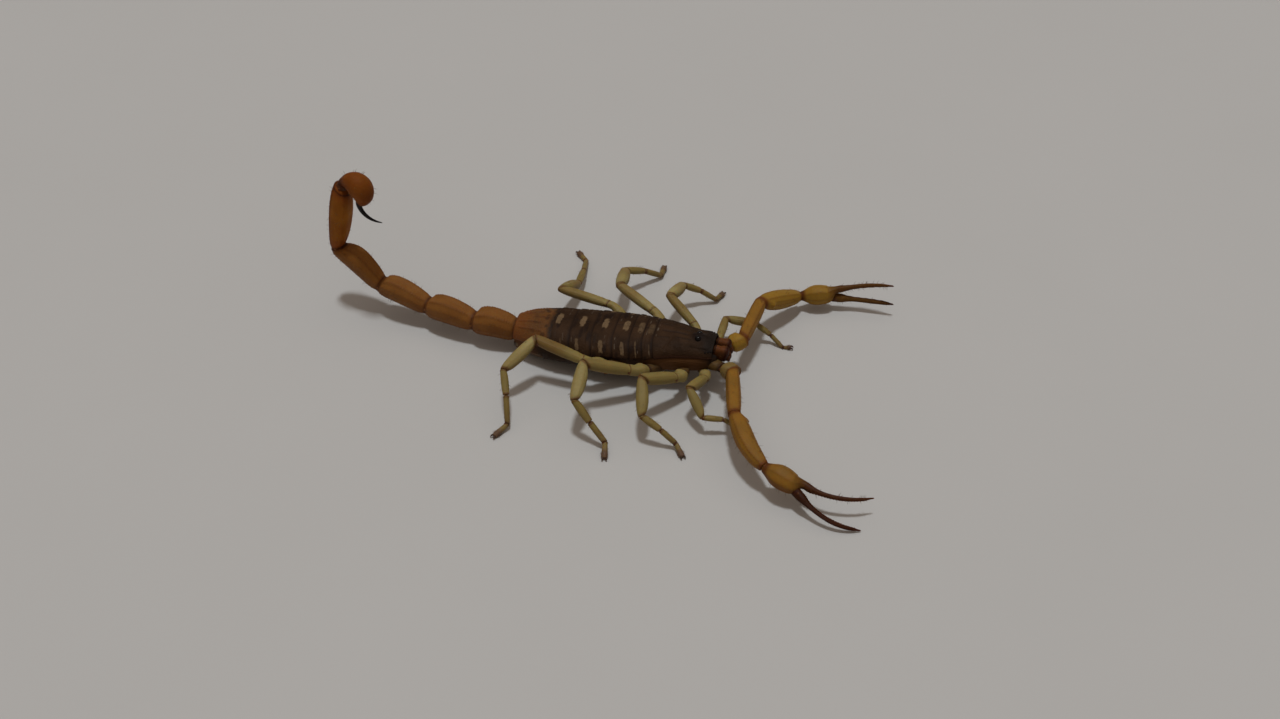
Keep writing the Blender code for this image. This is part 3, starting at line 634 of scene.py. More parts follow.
def patch(x, y, ragged):
    # a squarish blot: 1 inside, 0 outside a ragged rim
    return 1 - ease((np.abs(x) ** 3.5 + np.abs(y) ** 3.5) ** (1 / 3.5) + ragged, 0.78, 1.12)


def tergiteShape(number, front, rear):
    look, length = tergiteLook, rear - front
    spotAt, flankAt, flankLong, flankWide, spotTone, flankTone = look["marks"][number]

    def shape(d, y, w, sheet):
        # front sunk below the plate before, a low midline keel, grains, and a raised hind margin
        t, out = (d - front) / length, np.abs(w)
        keel = bell(y, 0.10) * ease(t, 0.15, 0.4)
        raised = twoGrains(sheet, look["grain"], number, number + 9)
        lift = look["lip"] * ease(t, 0.8, 0.94) - look["sink"] * (1 - ease(d, front - 0.2, front + 0.55))
        lift += look["keel"] * keel + look["grainHeight"] * raised * between(t, 0.12, 0.3, 0.86, 0.93)
        lift += 0.035 * bell(out - 1.0, 0.06) - 0.03 * bell(d - front - 0.30 * length, 0.07)
        ragged = 0.35 * (grains(sheet, 0.55, number + 40) - 0.4)
        spot = patch((t - spotAt) * length / look["spotHalf"][0], y / look["spotHalf"][1], ragged)
        flank = patch((t - flankAt) * length / flankLong, (out - look["flankAt"]) / flankWide, ragged)
        mark = np.maximum(spotTone * spot, flankTone * flank) * (1 - 0.3 * raised)
        lines = bell(t * length - length + 0.05, 0.04) + bell(d - front - 0.40 * length, 0.035)
        lines *= (0.85 if number < 4 else 0.45) * ease(grains(sheet, 0.9, number + 70), 0.05, 0.55)
        dim = 0.62 * ease(grains(sheet * [1.7, 0.42, 1.0], 1.3, number + 90), 0.10, 0.70)
        return lift, {"mark": mark, "ridge": keel * (1 - mark), "under": ease(out, 0.93, 1.05) * 0.8,
                      "line": lines * (1 - ease(out, 0.7, 0.95)) * (0.25 + 0.75 * ease(out, 0.05, 0.3)),
                      "joint": np.maximum(0.7 * bell(d - front, 0.22), dim * (1 - mark))}
    return shape


headLook = {"grain": 0.26, "grainHeight": 0.035, "tubercle": (2.1, 0.85, 0.56, 0.40), "rim": 0.06,
            # ridges: share of the half width, how it drifts, width, and where each rises and falls
            "ridges": ((0.30, 0.0, 0.035, 2.7, 3.1, 4.2, 4.8), (0.26, 0.0, 0.04, 0.2, 0.5, 1.1, 1.6),
                       (0.72, 0.05, 0.035, 0.7, 1.1, 2.6, 3.2), (0.36, 0.0, 0.035, 5.0, 5.4, 6.3, 6.7))}


def headShape(d, y, w, sheet):
    # median furrow, eye hill, brow ridges, side-eye ridges, hind cross furrow, raised rim and grains
    place, longHalf, wideHalf, high = headLook["tubercle"]
    hill = np.exp(-np.hypot((d - place) / longHalf, y / wideHalf) ** 3)
    furrow = bell(y, 0.13) * (between(d, 3.0, 3.4, 5.9, 6.4) + 0.8 * (1 - ease(d, 0.9, 1.3)))
    share = np.abs(y) / halfWidth(d)
    ridges = sum(bell(share - at + drift * (d - 1), width) * between(d, *run)
                 for at, drift, width, *run in headLook["ridges"])
    cross = bell(d - 4.85 - 0.9 * share ** 2, 0.16) * between(share, 0.05, 0.2, 0.75, 0.95)
    groove = bell(share - 0.55 - 0.06 * (d - 2.5), 0.05) * between(d, 1.8, 2.4, 3.6, 4.2)
    rim = bell(np.abs(w) - 1.0, 0.05) + bell(d - 0.3, 0.12) * 0.8 + bell(d - 6.75, 0.10)
    raised = twoGrains(sheet, headLook["grain"], 1, 4) * (1 - ease(d, 6.45, 6.65))
    raised = raised * (1 - 0.8 * np.clip(hill * 1.5 + furrow + cross, 0, 1))
    lift = high * hill - 0.10 * furrow - 0.05 * bell(y, 0.07) * hill + 0.075 * ridges - 0.07 * cross
    lift += headLook["rim"] * rim - 0.05 * groove + headLook["grainHeight"] * raised
    lift -= 0.06 * bell(y, 0.9) * bell(d, 0.35)          # front edge a little hollow at its middle
    line = 0.85 * bell(d - 6.66, 0.06) * (1 - ease(share, 0.6, 0.9)) * ease(grains(sheet, 0.9, 77), 0.1, 0.6)
    return lift, {"ridge": np.clip(ridges + 0.5 * rim, 0, 1), "line": line,
                  "under": ease(np.abs(w), 0.80, 1.02), "joint": np.clip(furrow * 0.6 + 1.3 * hill, 0, 1),
                  "tip": (1 - ease(d, 0.6, 2.6)) * (1 - ease(share, 0.75, 1.0)) * 0.9}


def plateSpan(name):                        # where a plate starts and ends behind the head's front
    low, high = boxOf(name)
    return headFront - high[0], headFront - low[0]


rearShift = 0.5                             # the last back plate starts this much further forward
backPlate("carapace", "darkShell", 0.28, plateSpan("carapace")[1] + 0.18, 120, headShape)
for number in range(1, 7):
    front, rear = plateSpan(f"tergite_{number}")
    rear -= rearShift * (number == 6)
    backPlate(f"tergite_{number}", "darkShell", front - tergiteLook["tuck"], rear + 0.2,
              int(24 + 14 * (rear - front)), tergiteShape(number, front, rear))

# the last plate's keels: share of the half width, height, and where along the plate each runs
rearLook = {"keels": ((0.0, 0.05, 0.10, 0.55), (0.30, 0.15, 0.30, 0.92), (0.66, 0.13, 0.25, 0.90)),
            "grain": 0.28, "grainHeight": 0.045}
rearStart, rearStop = plateSpan("tergite_7") - np.array([rearShift, 0.0])


def rearShape(d, y, w, sheet):
    # the last plate: a short midline keel and two pairs of beaded keels on a narrowing sheet
    t = (d - rearStart) / (rearStop - rearStart)
    share, out = y / halfWidth(d), np.abs(w)
    lift = -0.16 * (1 - ease(d, rearStart - 0.2, rearStart + 0.5))
    ridge = np.zeros(d.shape)
    for place, height, start, stop in rearLook["keels"]:
        run = between(t, start - 0.05, start + 0.05, stop - 0.04, stop + 0.04)
        run = run * bell(np.abs(share) - place, 0.045)
        lift += height * run * (0.7 + 0.3 * np.cos(fullTurn * d * 3.4))
        ridge = np.maximum(ridge, run)
    raised = twoGrains(sheet, rearLook["grain"], 21, 22)
    lift += rearLook["grainHeight"] * raised * between(t, 0.1, 0.25, 0.9, 0.97)
    lift += 0.05 * bell(t - 0.975, 0.03) + 0.03 * bell(out - 1, 0.05)
    blots = ease(grains(sheet, 0.75, 23, 0.6) + 0.5 * grains(sheet, 0.33, 24), 0.25, 0.95)
    dark = 1 - ease(t + 0.10 * blots, 0.02, 0.20)
    dark += blots * (1 - ease(t, 0.20, 0.75)) * (0.65 + 0.5 * ease(share, 0.30, 0.95))
    dark += 0.85 * ease(share, 0.62, 0.84) * (1 - ease(t, 0.45, 0.80))
    return lift, {"ridge": ridge, "mark": np.clip(dark, 0, 1), "under": ease(out, 0.8, 1.05),
                  "joint": bell(t - 1, 0.035) + 0.3 * bell(out - 1, 0.04), "tip": 0.7 * ease(t, 0.45, 0.9)}


backPlate("tergite_7", "rearShell", rearStart - 0.45, rearStop + 0.06, 90, rearShape)

# the soft flank between back and belly: rows of (distance behind the head's front, half width, bottom)
coreLook = {"front": ((-0.12, 1.55, 2.95), (0.40, 2.00, 2.70), (1.2, 2.25, 2.30), (2.5, 2.50, 2.10),
                      (5.0, 3.00, 2.00), (7.6, 3.30, 1.95)),
            "inset": 0.16, "sag": 0.62, "lowest": 0.42, "square": 2.9, "nose": 0.3, "tail": 0.1}


def flankCore():
    # one closed body inside the plates with fine lengthwise pleats, as wide as the back less an inset
    rear = [(d, halfWidth(np.array([d]))[0] - coreLook["inset"],
             max(bottom - coreLook["sag"] + 0.12, coreLook["lowest"]))
            for d, half, bottom, roof in belly[1:] if d > 9.2]
    d, half, bottom = np.array([*coreLook["front"], *rear]).T
    edge, crown = smooth(trunk[:, 0], trunk[:, 2:], d).T
    top = edge + 0.45 * (crown - edge)
    middles = np.column_stack([headFront - d, np.full(len(d), middleY), (top + bottom) / 2])
    path = roundPath(middles, np.column_stack([half, (top - bottom) / 2]), np.array([0.0, -1.0, 0.0]),
                     d - d[0])
    tube = sweep(path, coreLook, 150, 150)
    share, turn = tube["share"], tube["turn"]
    pleat = np.cos(turn * 44 + 2.0 * np.sin(share * 40)) * ease(np.abs(np.sin(turn)), 0.6, 0.9)
    tube["grid"] = tube["grid"] + outwards(tube) * (0.02 * pleat)[..., None]
    addPiece("flanks", "flankSkin",
             solidOf(tube, mark=0.25 * ease(pleat, 0.3, 1), under=0.9 * (1 - ease(share, 0.25, 0.38)),
                     tip=ease(share, 0.84, 0.93)), ["belly"])


flankCore()
sterniteLook = {"ends": (8.9, 11.1, 13.6, 16.2, 18.9, 22.72), "lip": 0.07, "grain": 0.34,
                "slit": (0.55, 0.52), "keels": (0.25, 0.62), "thick": 0.16}


def sternite(number, start, stop):
    # a belly plate: y = half cos(turn), z = roof - depth sin(turn)^0.4, sunk at its front edge,
    # with a hind lip and, on the first four, a breathing slit on each side
    look = sterniteLook
    rows, columns = int(20 + 10 * (stop - start)), 90
    d, turn = spread(np.linspace(start - 0.3, stop + 0.12, rows), np.linspace(0.02, math.pi - 0.02, columns))
    half, keel, roof = smooth(belly[:, 0], belly[:, 1:], np.minimum(d, belly[-1, 0])).transpose(2, 0, 1)
    half = np.minimum(half, 0.75 + 0.9 * np.maximum(d - 8.3, 0.1))
    keel = np.maximum(keel - coreLook["sag"] * between(d, 8.9, 10.5, 21.0, 22.7), 0.30)
    y = half * np.cos(turn)
    sheet = np.stack([headFront - d, middleY + y, roof - (roof - keel) * np.sin(turn) ** 0.4], -1)
    normals = gridNormals(sheet, False)
    normals *= -np.sign(normals[rows // 2, columns // 2, 2])
    t, share = (d - start) / (stop - start), np.abs(y) / half
    lift = look["lip"] * ease(t, 0.82, 0.95) - 0.14 * (1 - ease(d, start - 0.1, start + 0.5))
    lift += 0.02 * grains(sheet, look["grain"], 30 + number) * (1 - ease(t, 0.85, 0.92))
    slit, ridge = np.zeros(d.shape), np.zeros(d.shape)
    if number < 5:
        along, over = t - look["slit"][0], share - look["slit"][1]
        slit = np.exp(-np.hypot(along / 0.05, over / 0.12) ** 4)
        lift += 0.05 * bell(np.hypot(along / 0.09, over / 0.17) - 1, 0.35) - 0.10 * slit
    else:
        ridge = sum(bell(share - place, 0.05) for place in look["keels"]) * between(t, 0.25, 0.4, 0.88, 0.94)
        lift += 0.08 * ridge * (0.75 + 0.25 * np.cos(fullTurn * d * 3.2))
    # painted shade: the belly plates' sides are darkened nearly black as if in the shade under the body, the
    # first four most; their hind edge is darker as well
    flank = ease(np.abs(np.cos(turn)), 0.70, 0.92) * (0.95 if number < 5 else 0.3)
    found = {"joint": np.maximum(slit, bell(d - start, 0.2)), "ridge": ridge,
             "under": np.clip(0.6 * ease(t, 0.90, 1.0) + flank, 0, 1),
             "mark": 0.5 * between(t, 0.86, 0.92, 0.95, 1.0)}
    addPiece(f"sternite_{number + 2}", "bellyShell",
             closedSlab(sheet + normals * lift[..., None], sheet - normals * look["thick"], found))


for number, (start, stop) in enumerate(zip(sterniteLook["ends"], sterniteLook["ends"][1:]), start=1):
    sternite(number, start, stop)

# breastplate, and the small plates between it and the belly, standing a little out of the soft skin
sternumLook = {"square": 2.6, "keels": ((180, -0.10, 14, 0.2, 0.9),), "drop": 0.30}
path = ringPath(nodeRings("sternum", 8, nodeMiddle("carapace") + np.array([9.0, 0, 0])), 8)
path["middle"] = path["middle"] - upward * sternumLook["drop"]
addPiece("sternum", "bellyShell",
         solidOf(roughen(sweep(path, sternumLook, 40, 40), 0.25, 0.02, 41)), ["sternum"])
lidAt = np.array([headFront, middleY, boxOf("sternum")[0][2] - sternumLook["drop"]])
lids = [ball(lidAt + [-6.1, y, 0.20], (0.62, 0.50, 0.26), np.eye(3), 36) for y in (0.46, -0.46)]
lids.append(ball(lidAt + [-7.6, 0, -0.06], (0.72, 0.78, 0.24), np.eye(3), 36, mark=0.4))
addPiece("belly_lids", "bellyShell", lids)
print("trunk: carapace, 7 back plates, flanks,", len(sterniteLook["ends"]) - 1, "belly plates")

# the small side eyes: distance behind the head's front, share of the half width and radius of each
sideEyes = ((0.42, 0.80, 0.125), (0.72, 0.84, 0.115), (1.00, 0.88, 0.10))


def eyeGlobe(sign, middle, radius):
    # a globe whose pole faces out and up
    out = unit(np.array([0.15, sign * 0.85, 0.5]))
    across = unit(np.cross(out, np.array([1.0, 0, 0])))
    return ball(middle, (radius, radius, radius), np.array([across, np.cross(out, across), out]), 48)


for side, sign in sideNames.items():
    low, high = boxOf(f"eye_{side}")
    globe = eyeGlobe(sign, (low + high) / 2, (high - low)[2] / 2)
    addPiece(f"eye_{side}", "eyeGlass", globe, [f"eye_{side}"])
    beads = []
    for d, share, size in sideEyes:
        w = np.full((1, 1), 2 / math.pi * math.asin(share) * sign)
        beads.append(eyeGlobe(sign, backSheet(np.full((1, 1), d), w)[0, 0], size))
    addPiece(f"side_eyes_{side}", "eyeGlass", beads)

# the fingers' routes are rows of (ahead, inwards, up) from the jaw's end
jawLook = {"fit": 1.16, "rise": 0.34, "start": -0.25, "stop": 0.48, "nose": 0.2, "tail": 0.34, "dark": 0.06,
           "square": 2.5, "keels": ((50, 0.03, 12, 0.1, 0.9, 3),),
           "fixed": ((-0.1, 0.22, 0.0), (0.22, 0.24, -0.12), (0.40, 0.20, -0.40), (0.44, 0.12, -0.74)),
           "movable": ((-0.1, -0.10, -0.20), (0.22, -0.12, -0.36), (0.38, -0.08, -0.62), (0.42, 0.0, -0.92)),
           "radii": {"fixed": (0.40, 0.33, 0.21, 0.04), "movable": (0.42, 0.34, 0.20, 0.04)}}
for side, sign in sideNames.items():
    path = ringPath(nodeRings(f"chelicera_{side}", 8, nodeMiddle("carapace")), 8)
    path["middle"] = path["middle"] + upward * jawLook["rise"]
    tube = roughen(sweep(path, jawLook, 60, 48), 0.22, 0.016, 50 + sign)
    middle, forward, across, lift = (arrows[0] for arrows in pathAt(path, np.array([0.52]))[:4])
    fingers = []
    for part, radii in jawLook["radii"].items():
        route = [middle + forward * a - across * b * sign + lift * c for a, b, c in jawLook[part]]
        fingers.append(thorn(route, radii, 24))
        for share in (0.30, 0.60):          # teeth along the bite
            root = route[1] + (route[-1] - route[1]) * share
            tip = root + across * 0.10 * sign * (1 if part == "fixed" else -1) - lift * 0.06
            fingers.append(thorn([root, (root + tip) / 2, tip], (0.08, 0.05, 0.01), 8))
    share = tube["share"]
    mark = 0.7 * ease(np.cos(tube["turn"]), 0.2, 0.9) * (1 - ease(share, 0.25, 0.45))
    addPiece(f"jaw_{side}", "jawShell", solidOf(tube, mark=mark, tip=0.9 * ease(share, 0.30, 0.55)),
             [f"chelicera_{side}"])
    addPiece(f"jaw_fingers_{side}", "jawShell", fingers)
    plant("bristles_palps", tube, 60 + sign, 14, 0.35, 1.2, 0.5)
print("head: eyes and jaws")

# the upper keels at 31 degrees are tall enough to take the full darker ridge colour: partly the keels' own
# colour, partly painted shade along each segment's upper edge
tailKeels = ((31, 0.11, 8, 0.04, 0.96, 3.3, 0.8), (66, 0.035, 8, 0.05, 0.95, 3.3, 0.8),
             (135, 0.055, 8, 0.03, 0.96, 3.3, 0.3), (163, 0.04, 7, 0.05, 0.95, 3.3, 0.2),
             (0, -0.12, 17, 0.08, 0.93))
tailShared = {"fit": 0.99, "start": -0.008, "stop": 1.008, "nose": 0.42, "tail": 0.10,
              "dark": 0.018, "keels": tailKeels, "yaw": 169}
tailLook = {
    1: {"yaw": 180, "keels": tailKeels + ((100, 0.05, 8, 0.06, 0.95, 3.3, 0.4),)},
    2: {"yaw": 168, "keels": tailKeels + ((100, 0.04, 8, 0.45, 0.95, 3.3, 0.4),)},
    3: {},
    4: {},
    5: {"square": 2.05, "tail": 0.32,
        "keels": ((46, 0.04, 9, 0.04, 0.95, 3.0, 0.2), (132, 0.075, 8, 0.03, 0.97, 3.0, 0.4),
                  (180, 0.05, 7, 0.05, 0.96, 3.0, 0.2), (0, -0.08, 20, 0.06, 0.94))},
}
tailPaths = {}
previous = nodeMiddle("tergite_7")
for number, look in tailLook.items():
    look = {**tailShared, **look}
    rings = nodeRings(f"metasoma_{number}", 10, previous)
    yaw = math.radians(look["yaw"] + 90)
    path = tailPaths[number] = ringPath(rings, 10, np.array([math.cos(yaw), math.sin(yaw), 0]))
    previous = nodeMiddle(f"metasoma_{number}")
    tube = sweep(path, look, int(17 * path["reach"][-1]), 130)
    share, upper = tube["share"], np.cos(tube["turn"])
    tube = roughen(tube, 0.27, 0.030, 60 + number, between(share, 0.02, 0.10, 0.93, 0.98))
    collar = bell(share - 0.975, 0.02) + bell(share - 0.02, 0.02)
    if number < 5:
        mark = (1.1 if number == 4 else 0.25) * ease(upper, -0.1, 0.7)
    else:                                   # the last one reddens towards both ends
        mark = 0.8 * np.maximum(1 - ease(share, 0.05, 0.3), ease(share, 0.8, 1.0))
    # painted shade: each segment's lower side is darkened as if in shade; the collars at its ends are darker
    # joints
    under = np.clip(ease(-upper, 0.35, 0.85) + 0.35 * collar, 0, 1)
    addPiece(f"tail_{number}", "tailShell" if number < 5 else "endShell",
             solidOf(tube, under=under, mark=mark), [f"metasoma_{number}"])
    plant("bristles_tail", tube, number, 70, 0.5, turns=(66, -66, 100, -100, 135, -135, 163, -163))


def jointSkin(place, forward, across, size, depth, knob=1.0, amber=1.0):
    # soft skin as a ball inside the joint, with a small hard knob on each side
    axes, radii = np.array([across, np.cross(forward, across), forward]), np.array([0.13, 0.17, 0.17]) * knob
    return [ball(place, (size[0], size[1], depth), axes, 28)] + [
        ball(place + across * sign * size[0] * 0.98, radii, axes, 14, ridge=amber) for sign in (1, -1)]


def jointRow(paths, looks, parts, fit, depth, amber):
    # a joint skin midway between the end of each part and the start of the next
    skins = []
    for one, two in zip(parts, parts[1:]):
        last, here = endOf(paths[one], 1.0), endOf(paths[two], 0.0)
        skins += jointSkin((last[0] + here[0]) / 2, unit(last[1] + here[1]), here[2],
                           np.minimum(last[3], here[3]) * fit, depth, looks[two].get("knob", 1.0), amber)
    return skins


def planePath(base, side, route):
    # a path in the tail's upright plane, from rows of (ahead of the base, above it, radius)
    route = np.array(route)
    middles = base + route[:, :1] * unit(np.cross(side, upward)) + route[:, 1:2] * upward
    return roundPath(middles, route[:, [2, 2]], side, lengthAlong(middles))


bulbRoute = ((0.10, 0.66, 0.52), (0.52, 1.12, 0.62), (1.10, 1.34, 0.96), (1.78, 1.32, 1.25),
             (2.46, 0.93, 1.36), (2.72, 0.25, 1.25), (2.66, -0.45, 0.98), (2.44, -1.00, 0.61),
             (2.24, -1.30, 0.37))
stingRoute = ((2.16, -0.60, 0.34), (1.98, -1.35, 0.31), (2.14, -2.02, 0.265), (2.60, -2.64, 0.22),
              (3.30, -3.04, 0.17), (4.00, -3.17, 0.12), (4.74, -3.14, 0.055))
tailTop = tailPaths[5]["middle"][-1]
bulbPath, stingPath = (planePath(tailTop, -tailPaths[5]["side"], route) for route in (bulbRoute, stingRoute))
here = endOf(tailPaths[1], 0.0)
tailSkins = jointSkin(here[0] + np.array([0.15, 0, 0]), here[1], here[2], here[3] * 0.96, 0.5)
for number in range(2, 6):
    last, here = endOf(tailPaths[number - 1], 1.0), endOf(tailPaths[number], 0.0)
    place, size = (here[0] + last[0]) / 2, (here[3] + last[3]) * 0.47
    tailSkins += jointSkin(place, unit(here[1] + last[1]), here[2], size, 0.34)
last, here = endOf(tailPaths[5], 1.0), endOf(bulbPath, 0.0)
place, size = 0.6 * here[0] + 0.4 * last[0], here[3] * 1.25
tailSkins += jointSkin(place, unit(here[1] + last[1]), last[2], size, 0.62, 1.0, 0.25)
addPiece("tail_joints", "jointSkin", tailSkins)

bulbLook = {"square": 2.05, "nose": 0.25, "tail": 0.16, "dark": 0.09,
            "keels": ((180, 0.02, 9, 0.15, 0.85, 2.8), (140, 0.02, 8, 0.2, 0.8, 2.8),
                      (0, 0.02, 9, 0.15, 0.6, 2.8))}
stingLook = {"square": 2.0, "nose": 0.15, "dark": 0.12}
tube = sweep(bulbPath, bulbLook, 110, 110)
share = tube["share"]
tube = roughen(tube, 0.26, 0.028, 71, 1 - ease(share, 0.85, 0.95))
tip = np.maximum(0.70 * (1 - ease(share, 0.08, 0.26)), 0.5 * ease(share, 0.9, 1.0))
under = 0.35 * ease(np.cos(tube["turn"]), 0.3, 0.95) * ease(share, 0.4, 0.6)
addPiece("bulb", "bulbShell",
         solidOf(tube, tip=tip, mark=0.45 * bell(share - 0.58, 0.20), under=under), ["vesicle"])
plant("bristles_tail", tube, 6, 60, 0.55, 0.3, 0.15, 0.9)
tube = sweep(stingPath, stingLook, 80, 32)
tube["joint"] = 1 - ease(tube["share"], 0.0, 0.18)
addPiece("sting", "stingHorn", solidOf(tube), ["aculeus"])
print("tail: 5 segments, bulb and sting")

# each part of a palp: section, keels, grid, bristles, and the grains' height where it isn't the usual one
palpLook = {
    "coxa": dict(square=2.4, fit=1.35, stop=1.12, nose=0.2, tail=0.15, dark=0.10, grid=(40, 48), hairs=0,
                 keels=((40, 0.04, 12, 0.2, 0.9, 3),)),
    "trochanter": dict(square=2.3, fit=1.10, nose=0.25, dark=0.10, grid=(44, 72), hairs=12,
                       keels=((38, 0.06, 11, 0.15, 0.9, 3.2), (142, 0.06, 11, 0.15, 0.9, 3.2))),
    "femur": dict(square=2.7, fit=0.96, nose=0.35, dark=0.045, grid=(110, 96), hairs=34,
                  keels=((40, 0.10, 9, 0.03, 0.96, 3.2, 0.1), (140, 0.10, 9, 0.03, 0.96, 3.2, 0.1),
                         (90, 0.05, 9, 0.10, 0.85, 2.6))),
    "patella": dict(square=2.6, fit=0.96, nose=0.35, tail=0.14, dark=0.045, grid=(120, 104), hairs=40,
                    swell=((0, 0.3, 0.8, 1.0), (1.0, 1.04, 0.96, 0.92)),
                    keels=((36, 0.08, 8, 0.05, 0.95, 2.9, 0.1), (90, 0.07, 9, 0.10, 0.93, 2.6),
                           (144, 0.08, 8, 0.05, 0.95, 2.9, 0.1), (66, 0.04, 8, 0.2, 0.9, 2.6))),
    "hand": dict(square=2.15, nose=0.40, tail=0.30, dark=0.03, grid=(190, 104), hairs=90, grain=0.012,
                 swell=((0, 0.09, 0.34, 0.41, 0.50, 0.80, 0.93, 1.0),
                        (1.18, 1.06, 1.0, 1.12, 0.84, 0.76, 0.64, 0.42)),
                 keels=((0, 0.04, 9, 0.03, 0.34), (45, 0.045, 9, 0.03, 0.36),
                        (90, 0.045, 9, 0.03, 0.36), (135, 0.045, 9, 0.03, 0.34),
                        (180, 0.085, 8, 0.42, 0.97, 3.4), (163, 0.05, 6, 0.44, 0.95, 1.1))),
    "finger": dict(square=2.15, start=-0.05, nose=0.35, tail=0.30, grid=(130, 72), hairs=60,
                   hair=0.32, grain=0.008,
                   swell=((0, 0.10, 0.22, 0.75, 0.92, 1.0), (1.12, 1.16, 0.86, 0.82, 0.70, 0.42)),
                   keels=((0, 0.085, 8, 0.06, 0.97, 3.4), (17, 0.05, 6, 0.08, 0.95, 1.1),
                          (120, 0.03, 10, 0.1, 0.7))),
}
# what sets the two palps apart: the fingers' and the hand's thickness, how red the fingers are, the
# trochanter's size, place and finish, the pale marks, and the first cell of the bristles' unwrap
palpSides = {
    "left": {"slim": 1.05, "hand": 0.94, "red": 0.80, "trochanter": 1.0, "ahead": 0.0, "second": "palpShell",
             "marks": {"coxa": 0.3, "trochanter": 0.85, "patella": 0.55, "hand": 0.55, "finger": 0.45},
             "cell": 30},
    "right": {"slim": 0.84, "hand": 1.0, "red": 1.0, "trochanter": 0.92, "ahead": 0.26, "second": "legShell",
              "marks": {"coxa": 0.3, "trochanter": 0.35}, "cell": 10}}


def buildPalp(side, own):
    # each part's rings, read from its solid, give the path that its section is swept along; the hand and
    # the finger share one plane, the one they open in
    parts = list(palpLook)
    names = {part: f"palp_{part}_{side}" for part in parts}
    sides = {part: 8 if part == "coxa" else 10 for part in parts}
    rings, before = {}, nodeMiddle("sternum")
    for part in parts:
        rings[part] = nodeRings(names[part], sides[part], before)
        before = nodeMiddle(names[part]) if part != "hand" else rings["hand"][4].mean(0)
    handWay = unit(rings["hand"][4].mean(0) - rings["hand"][0].mean(0))
    opening = rings["hand"][-1].mean(0) - rings["finger"][-1].mean(0)
    opening = unit(opening - handWay * (opening @ handWay))
    handSide = np.cross(opening, handWay)
    paths = {part: ringPath(rings[part], sides[part], handSide if part in ("hand", "finger") else None)
             for part in parts}
    for part, start in (("hand", 0.4), ("finger", 0.05)):   # thicker or slimmer from where the fingers start
        path = paths[part]
        where = path["reach"] / path["reach"][-1]
        path["size"] = path["size"] * (1 + (own["slim"] - 1) * ease(where, start, start + 0.1))[:, None]
    paths["hand"]["size"] = paths["hand"]["size"] * own["hand"]
    paths["trochanter"]["middle"] = paths["trochanter"]["middle"] - upward * 0.14 + [own["ahead"], 0.0, 0.0]
    paths["trochanter"]["size"] = paths["trochanter"]["size"] * own["trochanter"]
    for order, (part, look) in enumerate(palpLook.items()):
        tube = sweep(paths[part], look, *look["grid"])
        share, turn = tube["share"], tube["turn"]
        mark, tip, under = own["marks"].get(part, 0.0), 0.0, 0.65 * ease(-np.cos(turn), 0.45, 0.95)
        grain = ease(share, 0.02, 0.08)
        if part == "coxa":
            under = 0.3 * (1 - share)
        elif part == "trochanter" and own["second"] == "legShell":
            under = 0.55
        elif part == "patella":             # spurred bump near the elbow, on the inner side
            inner = np.abs((turn + math.radians(90 * sideNames[side]) + math.pi) % fullTurn - math.pi)
            bump = 0.26 * np.exp(-np.hypot((share - 0.13) / 0.05, inner / 0.45) ** 2)
            tube["grid"] = tube["grid"] + unit(tube["grid"] - tube["frame"][0][:, None]) * bump[..., None]
        elif part == "hand":
            tip = np.maximum(own["red"] * ease(share, 0.24, 0.42), 0.4 * (1 - ease(share, 0.0, 0.05)))
            mark, under = mark * (1 - tip), under * (1 - tip)
            grain = grain * (1 - ease(share, 0.3, 0.4))
        elif part == "finger":
            mark = mark * (1 - 0.6 * share)
        tube = roughen(tube, 0.24, look.get("grain", 0.024), 80 + order, grain)
        special = {"coxa": "rootShell", "trochanter": own["second"], "finger": "fingerShell"}
        addPiece(f"palp_{part}_of_{side}", special.get(part, "palpShell"),
                 solidOf(tube, mark=mark, tip=tip, under=under), [names[part]])
        if look["hairs"]:
            plant("bristles_palps", tube, own["cell"] + order, look["hairs"], look.get("hair", 0.5), 0.5,
                  0.06, 0.96)
    skins = jointRow(paths, palpLook, parts[:-1], 0.92, 0.38, 0.3)
    root = endOf(paths["finger"], 0.02)
    skins += jointSkin(root[0], root[1], root[2], root[3] * 1.02, 0.42, 0.9, 0.1)
    addPiece(f"palp_joints_{side}", "jointSkin", skins)


for side, own in palpSides.items():
    buildPalp(side, own)
print("palps: coxa to fingers on both sides")

